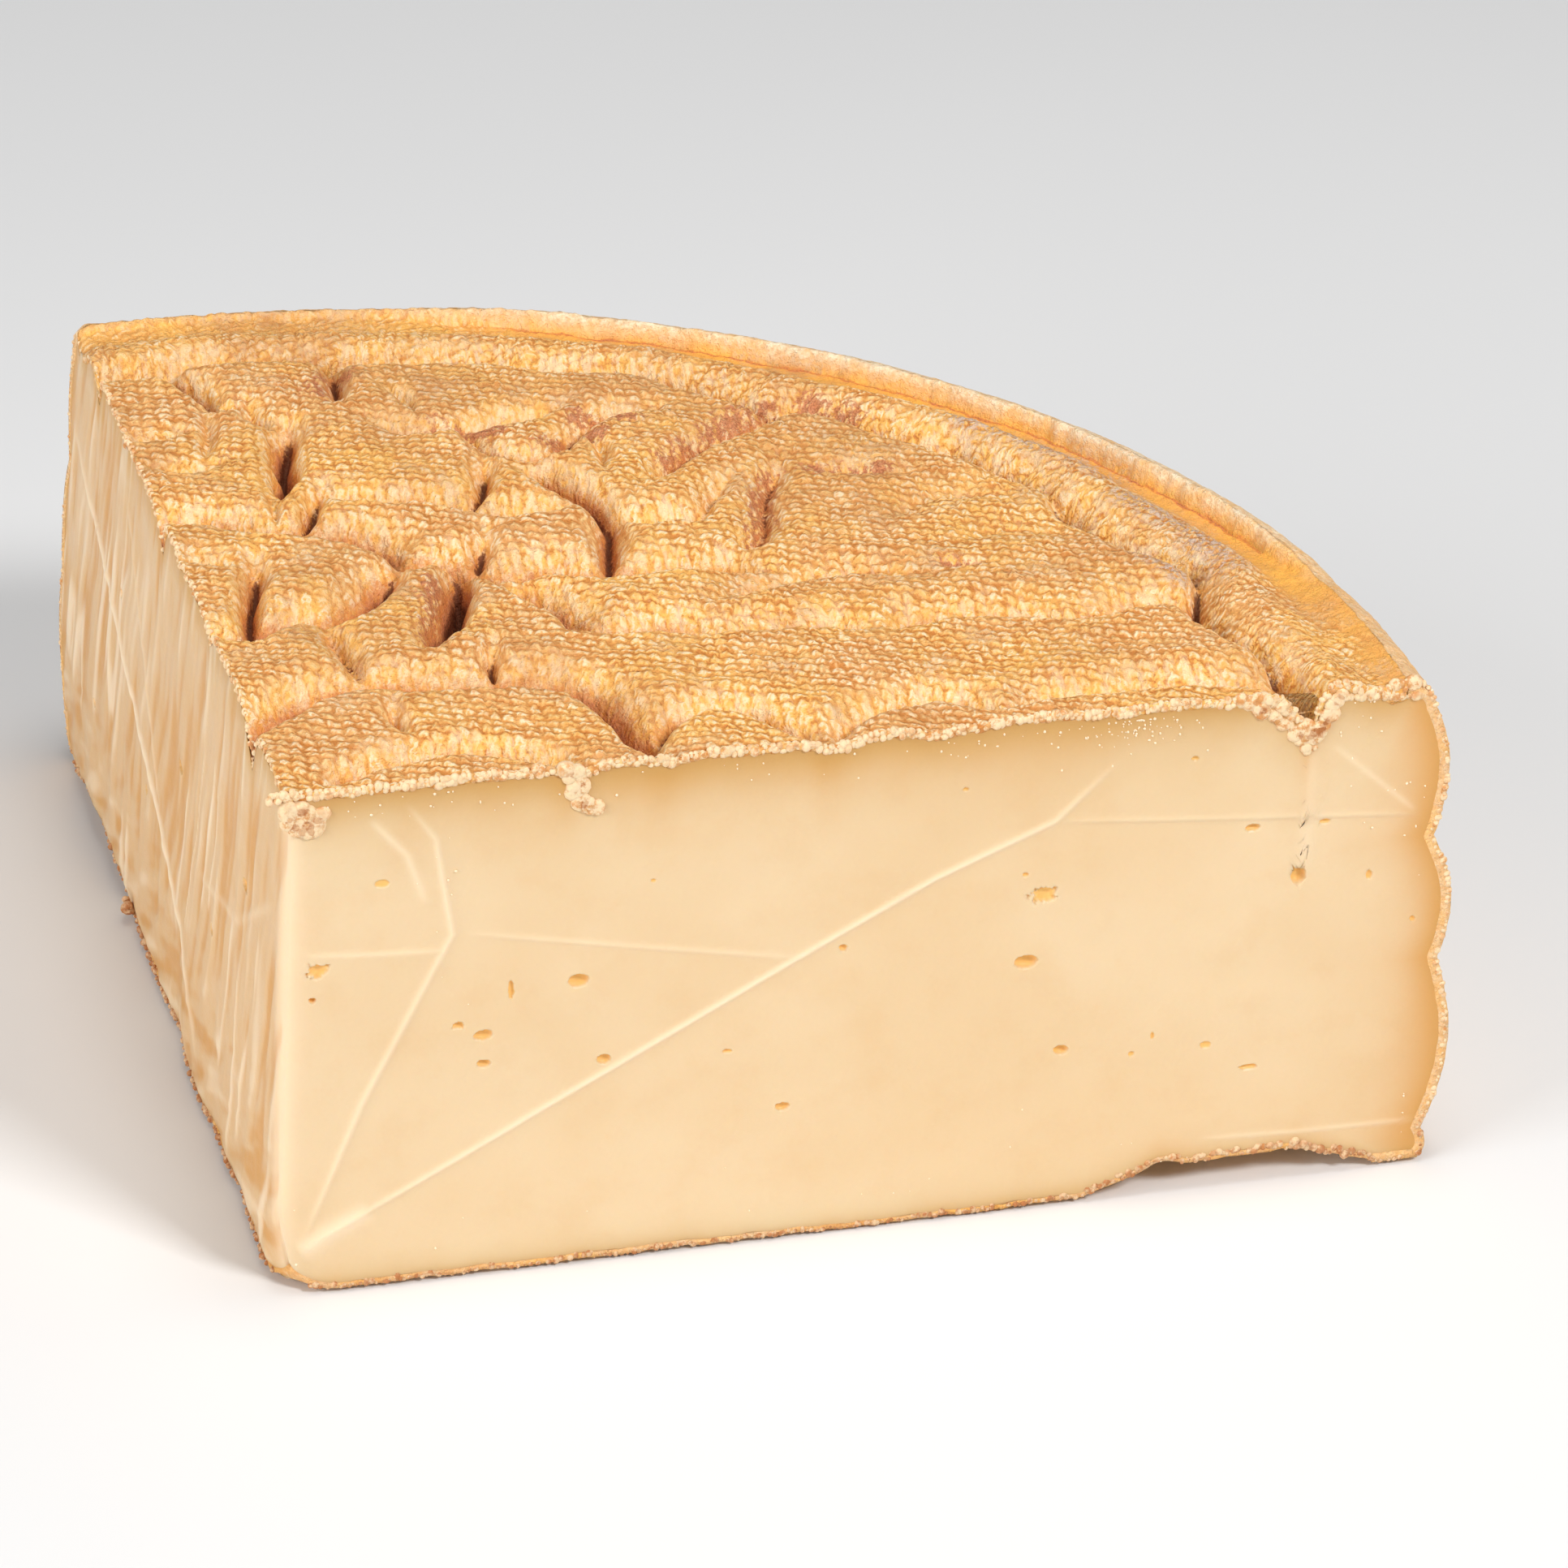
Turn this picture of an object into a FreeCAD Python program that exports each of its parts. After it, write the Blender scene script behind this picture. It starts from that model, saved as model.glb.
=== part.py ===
"""Quarter of a vacherin fribourgeois wheel, cut as a cheesemonger cuts it.

A washed-rind wheel, pressed in cloth, is turned from one profile.  Two knife
cuts take a quarter out of it, a little past the middle of the wheel.  The
folds that the cloth leaves in the upper rind are pressed in with one relief
surface, and the small eyes of the paste are hollowed out of the front cut.

Working axes: the front cut is the plane Y = 0, the corner where both cuts
meet stands on the origin, X runs along the front cut and Z is up.  The
finished piece is then moved so that the middle of its footprint is the origin.
"""

import FreeCAD, Part
import math
import os
from collections import namedtuple

import Sketcher

NODE = "cheese"
VECTOR = FreeCAD.Vector

# Driving dimensions in millimetres (angles in degrees).
SIZES = (
    ("hub_inset", 10.3, "wheel axis behind each knife cut"),
    ("blank_height", 84.0, "raw height of the middle before the folds"),
    ("arch_inner", 108.0, "inner edge of the hollow ring under the wheel"),
    ("arch_curve", 66.0, "radius of the hollow ring in section"),
    ("foot_inner", 152.6, "inner edge of the foot the wheel stands on"),
    ("foot_outer", 158.8, "outer edge of that foot"),
    ("foot_curve", 4.3, "rounding above the foot"),
    ("strap_low_radius", 159.3, "wall at the lowest strap mark"),
    ("strap_low_level", 5.5, "height of the lowest strap mark"),
    ("belly_low_curve", 38.0, "bulge between the low and middle marks"),
    ("strap_mid_radius", 159.9, "wall at the middle strap mark"),
    ("strap_mid_level", 34.0, "height of the middle strap mark"),
    ("belly_mid_curve", 22.0, "bulge between the middle and upper marks"),
    ("strap_top_radius", 158.1, "wall at the upper strap mark"),
    ("strap_top_level", 54.0, "height of the upper strap mark"),
    ("belly_top_curve", 26.0, "bulge between the upper mark and shoulder"),
    ("wall_top_radius", 157.4, "wall where the shoulder begins"),
    ("wall_top_level", 74.5, "height where the shoulder begins"),
    ("shoulder_curve", 6.6, "rounding of the shoulder"),
    ("lip_radius", 152.8, "inner edge of the shoulder's lip"),
    ("lip_level", 80.2, "top of the lip"),
    ("groove_outer", 151.6, "foot of the lip"),
    ("groove_inner", 145.2, "foot of the cloth welt"),
    ("groove_level", 78.2, "edges of the smooth groove"),
    ("groove_curve", 8.0, "hollow of the groove"),
    ("welt_inner", 137.0, "inner side of the cloth welt"),
    ("welt_level", 76.6, "height of the welt's inner side"),
    ("welt_curve", 5.4, "rounding of the welt"),
    ("crease_radius", 135.6, "circle where the folded middle begins"),
    ("crease_level", 74.4, "floor of the circular crease"),
    ("pillow_level", 79.0, "height of the rind's pillows between its folds"),
    ("fold_bottom", 1.0, "rounding at the bottom of a fold"),
    ("fold_taper", 7.0, "how far from its ends a fold grows shallow"),
    ("fold_end_depth", 0.35, "share of its depth that a fold keeps at its ends"),
    ("swell_rise", 0.5, "gentle swell of the pillows"),
    ("swell_length", 14.0, "how far the swell runs, over a sixth of a wave"),
    ("relief_step", 3.0, "spacing of the relief's control rows"),
    ("left_lean", 3.1, "lean of the left cut, top inwards"),
    ("left_yaw", 2.3, "left cut past the square of the front cut"),
    ("corner_wear", 8.0, "worn lower corner where the cuts meet"),
    ("eye_depth", 0.8, "depth of an eye as a share of its width"),
)

# The profile's corners as (radius, height) in the sheet's names, None on an
# axis, going round from the middle of the underside.
PROFILE = (
    (None, None),
    ("arch_inner", None),
    ("foot_inner", None),
    ("foot_outer", None),
    ("strap_low_radius", "strap_low_level"),
    ("strap_mid_radius", "strap_mid_level"),
    ("strap_top_radius", "strap_top_level"),
    ("wall_top_radius", "wall_top_level"),
    ("lip_radius", "lip_level"),
    ("groove_outer", "groove_level"),
    ("groove_inner", "groove_level"),
    ("welt_inner", "welt_level"),
    ("crease_radius", "crease_level"),
    ("crease_radius", "blank_height"),
    (None, "blank_height"),
)

# The profile's curved edges: the corner each starts from, the radius it takes
# and its side (1 swells out of the wheel, -1 is hollow).
CURVES = {
    "arch_inner": ("arch_curve", -1),
    "foot_outer": ("foot_curve", 1),
    "strap_low_radius": ("belly_low_curve", 1),
    "strap_mid_radius": ("belly_mid_curve", 1),
    "strap_top_radius": ("belly_top_curve", 1),
    "wall_top_radius": ("shoulder_curve", 1),
    "groove_outer": ("groove_curve", -1),
    "groove_inner": ("welt_curve", 1),
}

Fold = namedtuple("Fold", "depth near far line")

# The folds between the pillows of the upper rind: depth, reach to the right
# and to the left of the line, and the line along the bottom.
FOLDS = (
    # round the big pillow by the corner
    Fold(5.2, 4.4, 8.5, ((0, 18), (8, 26), (18, 32), (31, 30), (45, 29), (52, 21), (56, 3))),
    Fold(3.6, 3.8, 5.0, ((11, 4), (19, 9), (34, 9.6), (45, 0))),
    Fold(4.6, 4.0, 4.0, ((13, 2), (15, 10))),
    # along the front cut
    Fold(3.4, 3.8, 7.0, ((55.5, 6), (64, 16), (73, 11), (80, 0))),
    Fold(2.8, 3.8, 7.5, ((79, 0), (87, 9), (97, 12), (108, 5.4))),
    Fold(2.4, 3.8, 7.5, ((104, 5), (116, 8), (132, 8.4), (147, 0))),
    # across the middle
    Fold(4.6, 4.0, 9.5, ((45, 61), (53, 50), (57, 43.5), (75, 39.6))),
    Fold(2.4, 4.4, 9.0, ((70, 40.5), (97, 34.5))),
    Fold(3.2, 4.0, 9.0, ((94, 34.5), (106, 36.6), (124, 31.8), (142, 32))),
    Fold(2.0, 4.6, 8.0, ((74, 49), (90, 54.8), (107, 50))),
    # the arch of folds on the left
    Fold(5.2, 4.2, 7.5, ((3, 52), (14, 54.6), (21, 54), (29, 63), (34, 70))),
    Fold(4.4, 4.2, 8.5, ((31, 67), (36, 70), (45, 64), (54, 64), (64, 61), (85, 57))),
    Fold(8.0, 4.8, 4.4, ((41, 68), (37, 54), (32.5, 42.5))),
    Fold(4.8, 4.2, 4.2, ((12, 75), (8.3, 51))),
    Fold(3.6, 3.8, 3.8, ((41, 41), (38.8, 30))),
    Fold(2.8, 4.6, 4.6, ((19, 53), (22, 31))),
    Fold(4.2, 4.2, 4.2, ((47, 78), (43.3, 66))),
    Fold(4.6, 4.8, 4.8, ((56, 99), (65, 82), (62.3, 61))),
    # below the ridge that runs in from the left cut
    Fold(4.8, 4.2, 9.0, ((-4, 89.5), (7, 90), (15, 85), (26, 81), (33, 70))),
    Fold(4.0, 4.0, 4.0, ((26, 98), (19.5, 84))),
    Fold(5.8, 4.6, 4.6, ((24.5, 122), (20, 96))),
    Fold(2.6, 3.8, 3.8, ((20, 131), (22.5, 119))),
    Fold(3.4, 3.8, 4.4, ((-5, 144), (8, 143), (14, 132), (19, 128.5))),
    Fold(3.6, 3.8, 3.8, ((34.4, 143), (33.5, 127))),
    Fold(2.6, 4.0, 5.5, ((36, 119), (46, 113), (67, 118))),
    Fold(3.0, 4.0, 5.5, ((50.5, 114), (59, 101), (67, 109), (80, 114))),
    Fold(3.6, 4.0, 4.0, ((52, 103), (46, 85))),
    Fold(3.6, 4.0, 6.5, ((25, 97), (40, 90), (52, 83), (62, 85))),
    Fold(2.4, 4.0, 4.5, ((65, 77), (78, 76), (87, 89))),
    # the hollows of the smoother right half
    Fold(2.8, 4.8, 5.2, ((95, 94), (88, 73), (81, 63))),
    Fold(3.0, 4.6, 5.0, ((74, 89), (88, 104), (99, 113))),
    Fold(2.2, 4.0, 4.0, ((87, 121), (97.5, 111))),
)

Eye = namedtuple("Eye", "along level width tall")

# The eyes that open on the front cut.
EYES = (
    Eye(8.5, 51.5, 3.0, 2.4),
    Eye(31.0, 38.5, 2.5, 1.7),
    Eye(31.2, 34.0, 2.0, 1.4),
    Eye(35.0, 45.0, 1.3, 3.0),
    Eye(44.5, 45.5, 3.0, 2.2),
    Eye(48.0, 32.5, 2.1, 1.6),
    Eye(73.5, 21.5, 2.1, 1.2),
    Eye(108.5, 40.5, 3.2, 2.2),
    Eye(111.0, 51.0, 3.4, 2.1),
    Eye(114.0, 25.5, 2.3, 1.6),
    Eye(142.0, 19.0, 2.6, 1.1),
    Eye(148.0, 49.5, 2.3, 2.6),
)

REACH = 400.0       # longer than the wheel is wide, for the tools that cut it
OVERLAP = 6.0       # how far the relief runs on past the circle that it fills


def fill_sheet(document):
    """Write the driving dimensions into a spreadsheet."""
    sheet = document.addObject("Spreadsheet::Sheet", "Sizes")
    for row, (alias, value, note) in enumerate(SIZES, start=1):
        sheet.set(f"A{row}", note)
        sheet.set(f"B{row}", str(value))
        sheet.setAlias(f"B{row}", alias)
    document.recompute()
    return sheet


def draw_profile(sketch, sheet):
    """Draw the closed half section and tie its corners and arcs to the sheet."""

    def size(alias):
        return sheet.get(alias) if alias else 0.0

    def bind(constraint, alias):
        index = sketch.addConstraint(constraint)
        sketch.setExpression(f"Constraints[{index}]", f"Sizes.{alias}")

    corners = [VECTOR(size(radius), size(level), 0) for radius, level in PROFILE]
    arcs = {}
    first_tips = []
    last_tips = []
    for number, start in enumerate(corners):
        end = corners[(number + 1) % len(corners)]
        if PROFILE[number][0] in CURVES:
            alias, side = CURVES[PROFILE[number][0]]
            middle = bulge_point(start, end, side * size(alias))
            edge = sketch.addGeometry(Part.Arc(start, middle, end))
            arcs[edge] = alias
        else:
            edge = sketch.addGeometry(Part.LineSegment(start, end))
        forward = sketch.getPoint(edge, 1).distanceToPoint(start) < 1e-6
        first_tips.append(1 if forward else 2)
        last_tips.append(2 if forward else 1)

    for edge, (radius, level) in enumerate(PROFILE):
        following = (edge + 1) % len(PROFILE)
        sketch.addConstraint(Sketcher.Constraint(
            "Coincident", edge, last_tips[edge], following, first_tips[following]))
        tip = first_tips[edge]
        if radius:
            bind(Sketcher.Constraint("DistanceX", -1, 1, edge, tip, size(radius)), radius)
        else:
            sketch.addConstraint(Sketcher.Constraint("PointOnObject", edge, tip, -2))
        if level:
            bind(Sketcher.Constraint("DistanceY", -1, 1, edge, tip, size(level)), level)
        else:
            sketch.addConstraint(Sketcher.Constraint("PointOnObject", edge, tip, -1))
    for edge, alias in arcs.items():
        bind(Sketcher.Constraint("Radius", edge, size(alias)), alias)


def bulge_point(start, end, radius):
    """Return the middle of the short arc from start to end.

    A positive radius swells to the right of the way, a negative one to the left.
    """
    chord = end - start
    half = chord.Length / 2.0
    sagitta = abs(radius) - math.sqrt(radius * radius - half * half)
    right = VECTOR(chord.y, -chord.x, 0).normalize()
    return (start + end) * 0.5 + right * math.copysign(sagitta, radius)


def turn_wheel(document, sheet):
    """Turn the whole wheel from its profile."""
    body = document.addObject("PartDesign::Body", "wheel")
    sketch = body.newObject("Sketcher::SketchObject", "wheel_profile")
    for plane in body.Origin.OriginFeatures:
        if plane.Role == "XZ_Plane":
            sketch.AttachmentSupport = [(plane, "")]
    sketch.MapMode = "FlatFace"
    draw_profile(sketch, sheet)
    document.recompute()
    wheel = body.newObject("PartDesign::Revolution", "turned_wheel")
    wheel.Profile = sketch
    wheel.ReferenceAxis = (sketch, ["V_Axis"])
    wheel.Angle = 360.0
    body.Tip = wheel
    body.setExpression("Placement.Base.x", "Sizes.hub_inset")
    body.setExpression("Placement.Base.y", "Sizes.hub_inset")
    return body


def knife_cuts(document, sheet):
    """Make the two knife cuts and the wear of the corner between them."""
    blocks = {name: document.addObject("Part::Box", name)
              for name in ("front_cut", "left_cut", "worn_corner")}
    for block in blocks.values():
        block.Length = block.Width = block.Height = REACH
    blocks["front_cut"].Placement.Base = VECTOR(-REACH / 2, -REACH, -REACH / 2)
    yaw = FreeCAD.Rotation(VECTOR(0, 0, 1), sheet.left_yaw)
    lean = FreeCAD.Rotation(VECTOR(0, 1, 0), sheet.left_lean)
    place_block(blocks["left_cut"], VECTOR(-REACH, -REACH / 2, -REACH / 2),
                yaw.multiply(lean), VECTOR(0, 0, 0))
    third = sheet.corner_wear / 3
    place_block(blocks["worn_corner"], VECTOR(-REACH / 2, -REACH / 2, -REACH),
                FreeCAD.Rotation(VECTOR(0, 0, 1), VECTOR(1, 1, 1)),
                VECTOR(third, third, third))
    knives = document.addObject("Part::MultiFuse", "knife_cuts")
    knives.Shapes = list(blocks.values())
    return knives


def place_block(block, local_base, turn, pivot):
    """Put a block's corner at local_base, turn it and move it to the pivot."""
    block.Placement = FreeCAD.Placement(pivot + turn.multVec(local_base), turn)


def fold_depth(x, y, fold, sheet):
    """Return how far one fold sinks the rind at a place."""
    nearest = math.inf
    length = sum(math.dist(start, end) for start, end in zip(fold.line, fold.line[1:]))
    gone = 0.0
    for (x0, y0), (x1, y1) in zip(fold.line, fold.line[1:]):
        span = math.dist((x0, y0), (x1, y1))
        way_x, way_y = (x1 - x0) / span, (y1 - y0) / span
        along = min(max((x - x0) * way_x + (y - y0) * way_y, 0.0), span)
        off_x, off_y = x - x0 - along * way_x, y - y0 - along * way_y
        if math.hypot(off_x, off_y) < nearest:
            nearest = math.hypot(off_x, off_y)
            reach = fold.far if way_x * off_y > way_y * off_x else fold.near
            from_end = min(gone + along, length - gone - along)
        gone += span
    rounded = math.hypot(nearest, sheet.fold_bottom) - sheet.fold_bottom
    fullness = min(from_end / min(sheet.fold_taper, length / 2), 1.0)
    fullness = sheet.fold_end_depth + (1.0 - sheet.fold_end_depth) * fullness
    return fold.depth * fullness * max(1.0 - rounded / reach, 0.0) ** 2


def rind_height(x, y, sheet):
    """Return the height of the folded rind at a place in the middle."""
    sunk = sum(fold_depth(x, y, fold, sheet) ** 3 for fold in FOLDS) ** (1.0 / 3.0)
    swell = sheet.swell_rise * (math.sin(x / sheet.swell_length + 1.0)
                                * math.sin(y / sheet.swell_length + 2.2))
    return sheet.pillow_level + swell - sunk


def press_folds(document, sheet):
    """Make the tool that presses the cloth's folds into the wheel's middle."""
    step = sheet.relief_step
    first = -OVERLAP
    count = math.ceil((sheet.hub_inset + sheet.crease_radius + 2 * OVERLAP) / step) + 1
    places = [first + step * number for number in range(count)]
    rows = [[VECTOR(x, y, rind_height(x, y, sheet)) for y in places] for x in places]
    surface = Part.BSplineSurface()
    surface.interpolate(rows)
    relief = document.addObject("Part::Feature", "fold_relief")
    relief.Shape = surface.toShape().extrude(VECTOR(0, 0, sheet.blank_height))

    disc = document.addObject("Part::Cylinder", "middle_disc")
    disc.setExpression("Radius", "Sizes.crease_radius")
    disc.Height = REACH
    disc.setExpression("Placement.Base.x", "Sizes.hub_inset")
    disc.setExpression("Placement.Base.y", "Sizes.hub_inset")
    press = document.addObject("Part::Common", "fold_press")
    press.Base = relief
    press.Tool = disc
    return press


def hollow_eyes(document, sheet):
    """Make the small eyes that open on the front cut."""
    hollows = []
    for number, eye in enumerate(EYES, start=1):
        hollow = document.addObject("Part::Ellipsoid", f"eye_{number}")
        hollow.Radius1 = eye.tall / 2
        hollow.Radius2 = eye.width / 2
        hollow.setExpression("Radius3", f"Sizes.eye_depth * {eye.width} mm")
        hollow.Placement.Base = VECTOR(eye.along, 0, eye.level)
        hollows.append(hollow)
    eyes = document.addObject("Part::MultiFuse", "eyes")
    eyes.Shapes = hollows
    return eyes


def cut(document, name, base, tool):
    """Cut a tool out of a base."""
    result = document.addObject("Part::Cut", name)
    result.Base = base
    result.Tool = tool
    return result


def stand_on_origin(document, piece):
    """Move a piece so that the middle of its footprint is the origin."""
    box = piece.Shape.optimalBoundingBox(False)
    piece.Placement.Base = VECTOR(-box.Center.x, -box.Center.y, -box.ZMin)
    document.recompute()


def check(document, piece):
    """Stop if anything failed, or if the piece isn't one sound solid."""
    for item in document.Objects:
        if "Invalid" in item.State or "Error" in item.State:
            raise RuntimeError(f"{item.Name} failed: {item.State}")
    shape = piece.Shape
    if shape.isNull() or not shape.isValid():
        raise RuntimeError(f"{piece.Name} has no sound shape")
    if len(shape.Solids) != 1:
        raise RuntimeError(f"{piece.Name} has {len(shape.Solids)} solids")


def main():
    """Build the quarter wheel and write it."""
    document = FreeCAD.newDocument("quarter_wheel")
    sheet = fill_sheet(document)
    wheel = turn_wheel(document, sheet)
    quarter = cut(document, "quarter", wheel, knife_cuts(document, sheet))
    folded = cut(document, "folded_quarter", quarter, press_folds(document, sheet))
    cheese = cut(document, NODE, folded, hollow_eyes(document, sheet))
    cheese.Label = NODE
    document.recompute()
    stand_on_origin(document, cheese)
    check(document, cheese)

    os.makedirs("parts", exist_ok=True)
    cheese.Shape.exportStep(f"parts/{NODE}.step")
    box = cheese.Shape.optimalBoundingBox(False)
    print(f"{NODE}: {box.XLength:.1f} x {box.YLength:.1f} x {box.ZLength:.1f} mm,"
          f" {cheese.Shape.Volume / 1e6:.3f} litres")


main()
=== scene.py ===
"""Dresses a quarter wheel of vacherin fribourgeois in its rind and paste.

Lengths inside the classes are millimetres, measured from the corner where the
two knife cuts meet: X along the front cut, Y along the left cut and Z up.
``Bench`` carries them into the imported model's frame, in metres.
"""

import logging
import math
from dataclasses import dataclass
from enum import Enum
from typing import Iterable

import bmesh
import bpy
import numpy as np
from mathutils import Matrix, Vector


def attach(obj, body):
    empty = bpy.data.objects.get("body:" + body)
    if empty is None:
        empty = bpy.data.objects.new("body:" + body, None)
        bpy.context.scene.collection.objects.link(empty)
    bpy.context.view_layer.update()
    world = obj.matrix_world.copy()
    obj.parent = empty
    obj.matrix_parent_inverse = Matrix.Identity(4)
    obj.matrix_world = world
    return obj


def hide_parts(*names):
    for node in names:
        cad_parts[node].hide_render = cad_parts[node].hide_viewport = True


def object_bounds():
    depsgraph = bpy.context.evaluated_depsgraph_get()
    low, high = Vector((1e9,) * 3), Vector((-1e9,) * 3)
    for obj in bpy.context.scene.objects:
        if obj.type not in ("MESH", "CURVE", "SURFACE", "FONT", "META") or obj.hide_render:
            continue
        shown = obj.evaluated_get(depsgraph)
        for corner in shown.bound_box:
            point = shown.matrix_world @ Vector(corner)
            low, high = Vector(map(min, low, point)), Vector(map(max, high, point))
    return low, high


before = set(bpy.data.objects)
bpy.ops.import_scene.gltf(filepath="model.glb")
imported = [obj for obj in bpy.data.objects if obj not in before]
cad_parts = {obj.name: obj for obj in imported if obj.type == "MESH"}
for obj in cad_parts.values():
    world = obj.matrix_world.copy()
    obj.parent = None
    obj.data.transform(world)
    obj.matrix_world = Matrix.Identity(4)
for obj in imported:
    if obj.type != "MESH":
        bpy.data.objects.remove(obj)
CAD_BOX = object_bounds()

LOG = logging.getLogger("quarter_wheel")
NODE = "cheese"
BODY = "root"
MM = 0.001
CLOTH_MAP = "cloth"

Array = np.ndarray
Point = tuple[float, float]
Colour = tuple[float, float, float]
Socket = bpy.types.NodeSocket
Plan = bmesh.types.BMesh


class Slot(Enum):
    """The material slots of the paste and the rind."""

    PASTE = "paste"
    RIND = "rind"


class Depth(Enum):
    """Which layer of a closed piece a corner of its plan mesh belongs to."""

    SKIN = 0
    EDGE = -1
    CORE = -2


# ---- arithmetic


def smoothstep(low: float, high: float, value: Array) -> Array:
    """Ease from 0 at low to 1 at high."""
    share = np.clip((value - low) / (high - low), 0.0, 1.0)
    return share * share * (3.0 - 2.0 * share)


def bell(distance: Array, width: float) -> Array:
    """Return a round-topped bump that is 1 at no distance."""
    return np.exp(-((distance / width) ** 2))


@dataclass(frozen=True)
class Noise:
    """Seeded smooth noise over a plane, between about -1 and 1.

    Args:
        seed: picks the pattern.
        size: distance between its bumps.
        octaves: how many finer layers are added.
    """

    seed: int
    size: float
    octaves: int = 1

    CELLS = 128

    def __call__(self, x: Array, y: Array) -> Array:
        """Return the noise at each place.

        Args:
            x: places.
            y: places.

        Returns:
            The noise at each place.
        """
        total = np.zeros_like(x, dtype=float)
        weight, size, reach = 1.0, self.size, 0.0
        for octave in range(self.octaves):
            turn = 0.6 + 1.1 * octave + 0.37 * self.seed
            across = (x * math.cos(turn) - y * math.sin(turn)) / size
            along = (x * math.sin(turn) + y * math.cos(turn)) / size
            total += weight * self._layer(across, along, self.seed + 17 * octave)
            reach += weight
            weight *= 0.5
            size *= 0.47
        return total / reach

    def _layer(self, across: Array, along: Array, seed: int) -> Array:
        """Return one layer of smoothed random values on a unit lattice.

        Args:
            across: places in cells.
            along: places in cells.
            seed: picks the pattern.

        Returns:
            The layer at each place.
        """
        table = np.random.default_rng(seed).uniform(-1.0, 1.0, (self.CELLS, self.CELLS))
        column, row = np.floor(across).astype(int), np.floor(along).astype(int)
        right, up = across - column, along - row
        right, up = right * right * (3 - 2 * right), up * up * (3 - 2 * up)
        c0, c1 = column % self.CELLS, (column + 1) % self.CELLS
        r0, r1 = row % self.CELLS, (row + 1) % self.CELLS
        near = table[c0, r0] * (1 - right) + table[c1, r0] * right
        far = table[c0, r1] * (1 - right) + table[c1, r1] * right
        return near * (1 - up) + far * up


@dataclass(frozen=True)
class Trail:
    """A line through a few given points of a plane."""

    points: tuple[Point, ...]

    def measure(self, x: Array, y: Array) -> tuple[Array, Array, Array]:
        """Return distance, side (1 on its left) and share of the way, for each place.

        Args:
            x: places.
            y: places.

        Returns:
            Three values for each place.
        """
        best = np.full(x.shape, np.inf)
        side = np.ones(x.shape)
        share = np.zeros(x.shape)
        spans = [math.dist(a, b) for a, b in zip(self.points, self.points[1:])]
        length, gone = sum(spans), 0.0
        for (x0, y0), (x1, y1), span in zip(self.points, self.points[1:], spans):
            dx, dy = (x1 - x0) / span, (y1 - y0) / span
            along = np.clip((x - x0) * dx + (y - y0) * dy, 0.0, span)
            off_x, off_y = x - x0 - along * dx, y - y0 - along * dy
            distance = np.hypot(off_x, off_y)
            nearer = distance < best
            best = np.where(nearer, distance, best)
            left = np.where(dx * off_y - dy * off_x >= 0.0, 1.0, -1.0)
            side = np.where(nearer, left, side)
            share = np.where(nearer, (gone + along) / length, share)
            gone += span
        return best, side, share

    def length(self) -> float:
        """Return the line's length."""
        return sum(math.dist(a, b) for a, b in zip(self.points, self.points[1:]))

    def corners(self) -> tuple[Point, Point]:
        """Return the lowest and the highest corner of the line's box."""
        xs, ys = zip(*self.points)
        return (min(xs), min(ys)), (max(xs), max(ys))

    def walk(self, pitch: float) -> list[tuple[Point, Point]]:
        """Return evenly spaced places along the line, each with its direction.

        Args:
            pitch: distance between the places.

        Returns:
            Each place with its direction.
        """
        places = []
        for (x0, y0), (x1, y1) in zip(self.points, self.points[1:]):
            span = math.dist((x0, y0), (x1, y1))
            steps = max(1, round(span / pitch))
            way = ((x1 - x0) / span, (y1 - y0) / span)
            for step in range(steps):
                share = step / steps
                places.append(((x0 + (x1 - x0) * share, y0 + (y1 - y0) * share), way))
        return places


@dataclass(frozen=True)
class Valley:
    """A fold between two pillows of the rind.

    Args:
        line: its bottom.
        depth: how far it sinks.
        near: how far its right side reaches.
        far: how far its left side reaches.
    """

    line: Trail
    depth: float
    near: float
    far: float

    TAPER = 7.0
    DEEPEN = 1.18

    def sink(self, x: Array, y: Array) -> tuple[Array, Array]:
        """Return how far the rind sinks at each place and how near its seam lies.

        Args:
            x, y: places along the front and the left cut.

        Returns:
            Two values for each place.
        """
        reach = max(self.near, self.far)
        (west, south), (east, north) = self.line.corners()
        close = ((x > west - reach) & (x < east + reach)
                 & (y > south - reach) & (y < north + reach))
        sunk, seam = np.zeros_like(x), np.zeros_like(x)
        distance, side, share = self.line.measure(x[close], y[close])
        length = self.line.length()
        from_end = np.minimum(share, 1.0 - share) * length
        fade = 0.35 + 0.65 * smoothstep(0.0, min(self.TAPER, length / 2), from_end)
        width = np.where(side > 0, self.far, self.near)
        rounded = np.sqrt(distance * distance + 0.09) - 0.3
        flank = np.clip(1.0 - rounded / width, 0.0, 1.0) ** 2
        sunk[close] = self.DEEPEN * self.depth * fade * flank
        seam[close] = bell(distance, 0.6) * smoothstep(1.4, 4.2, self.depth * fade)
        return sunk, seam


def valley(depth: float, near: float, far: float, *points: Point) -> Valley:
    """Lay a valley along the points."""
    return Valley(Trail(points), depth, near, far)


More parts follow.
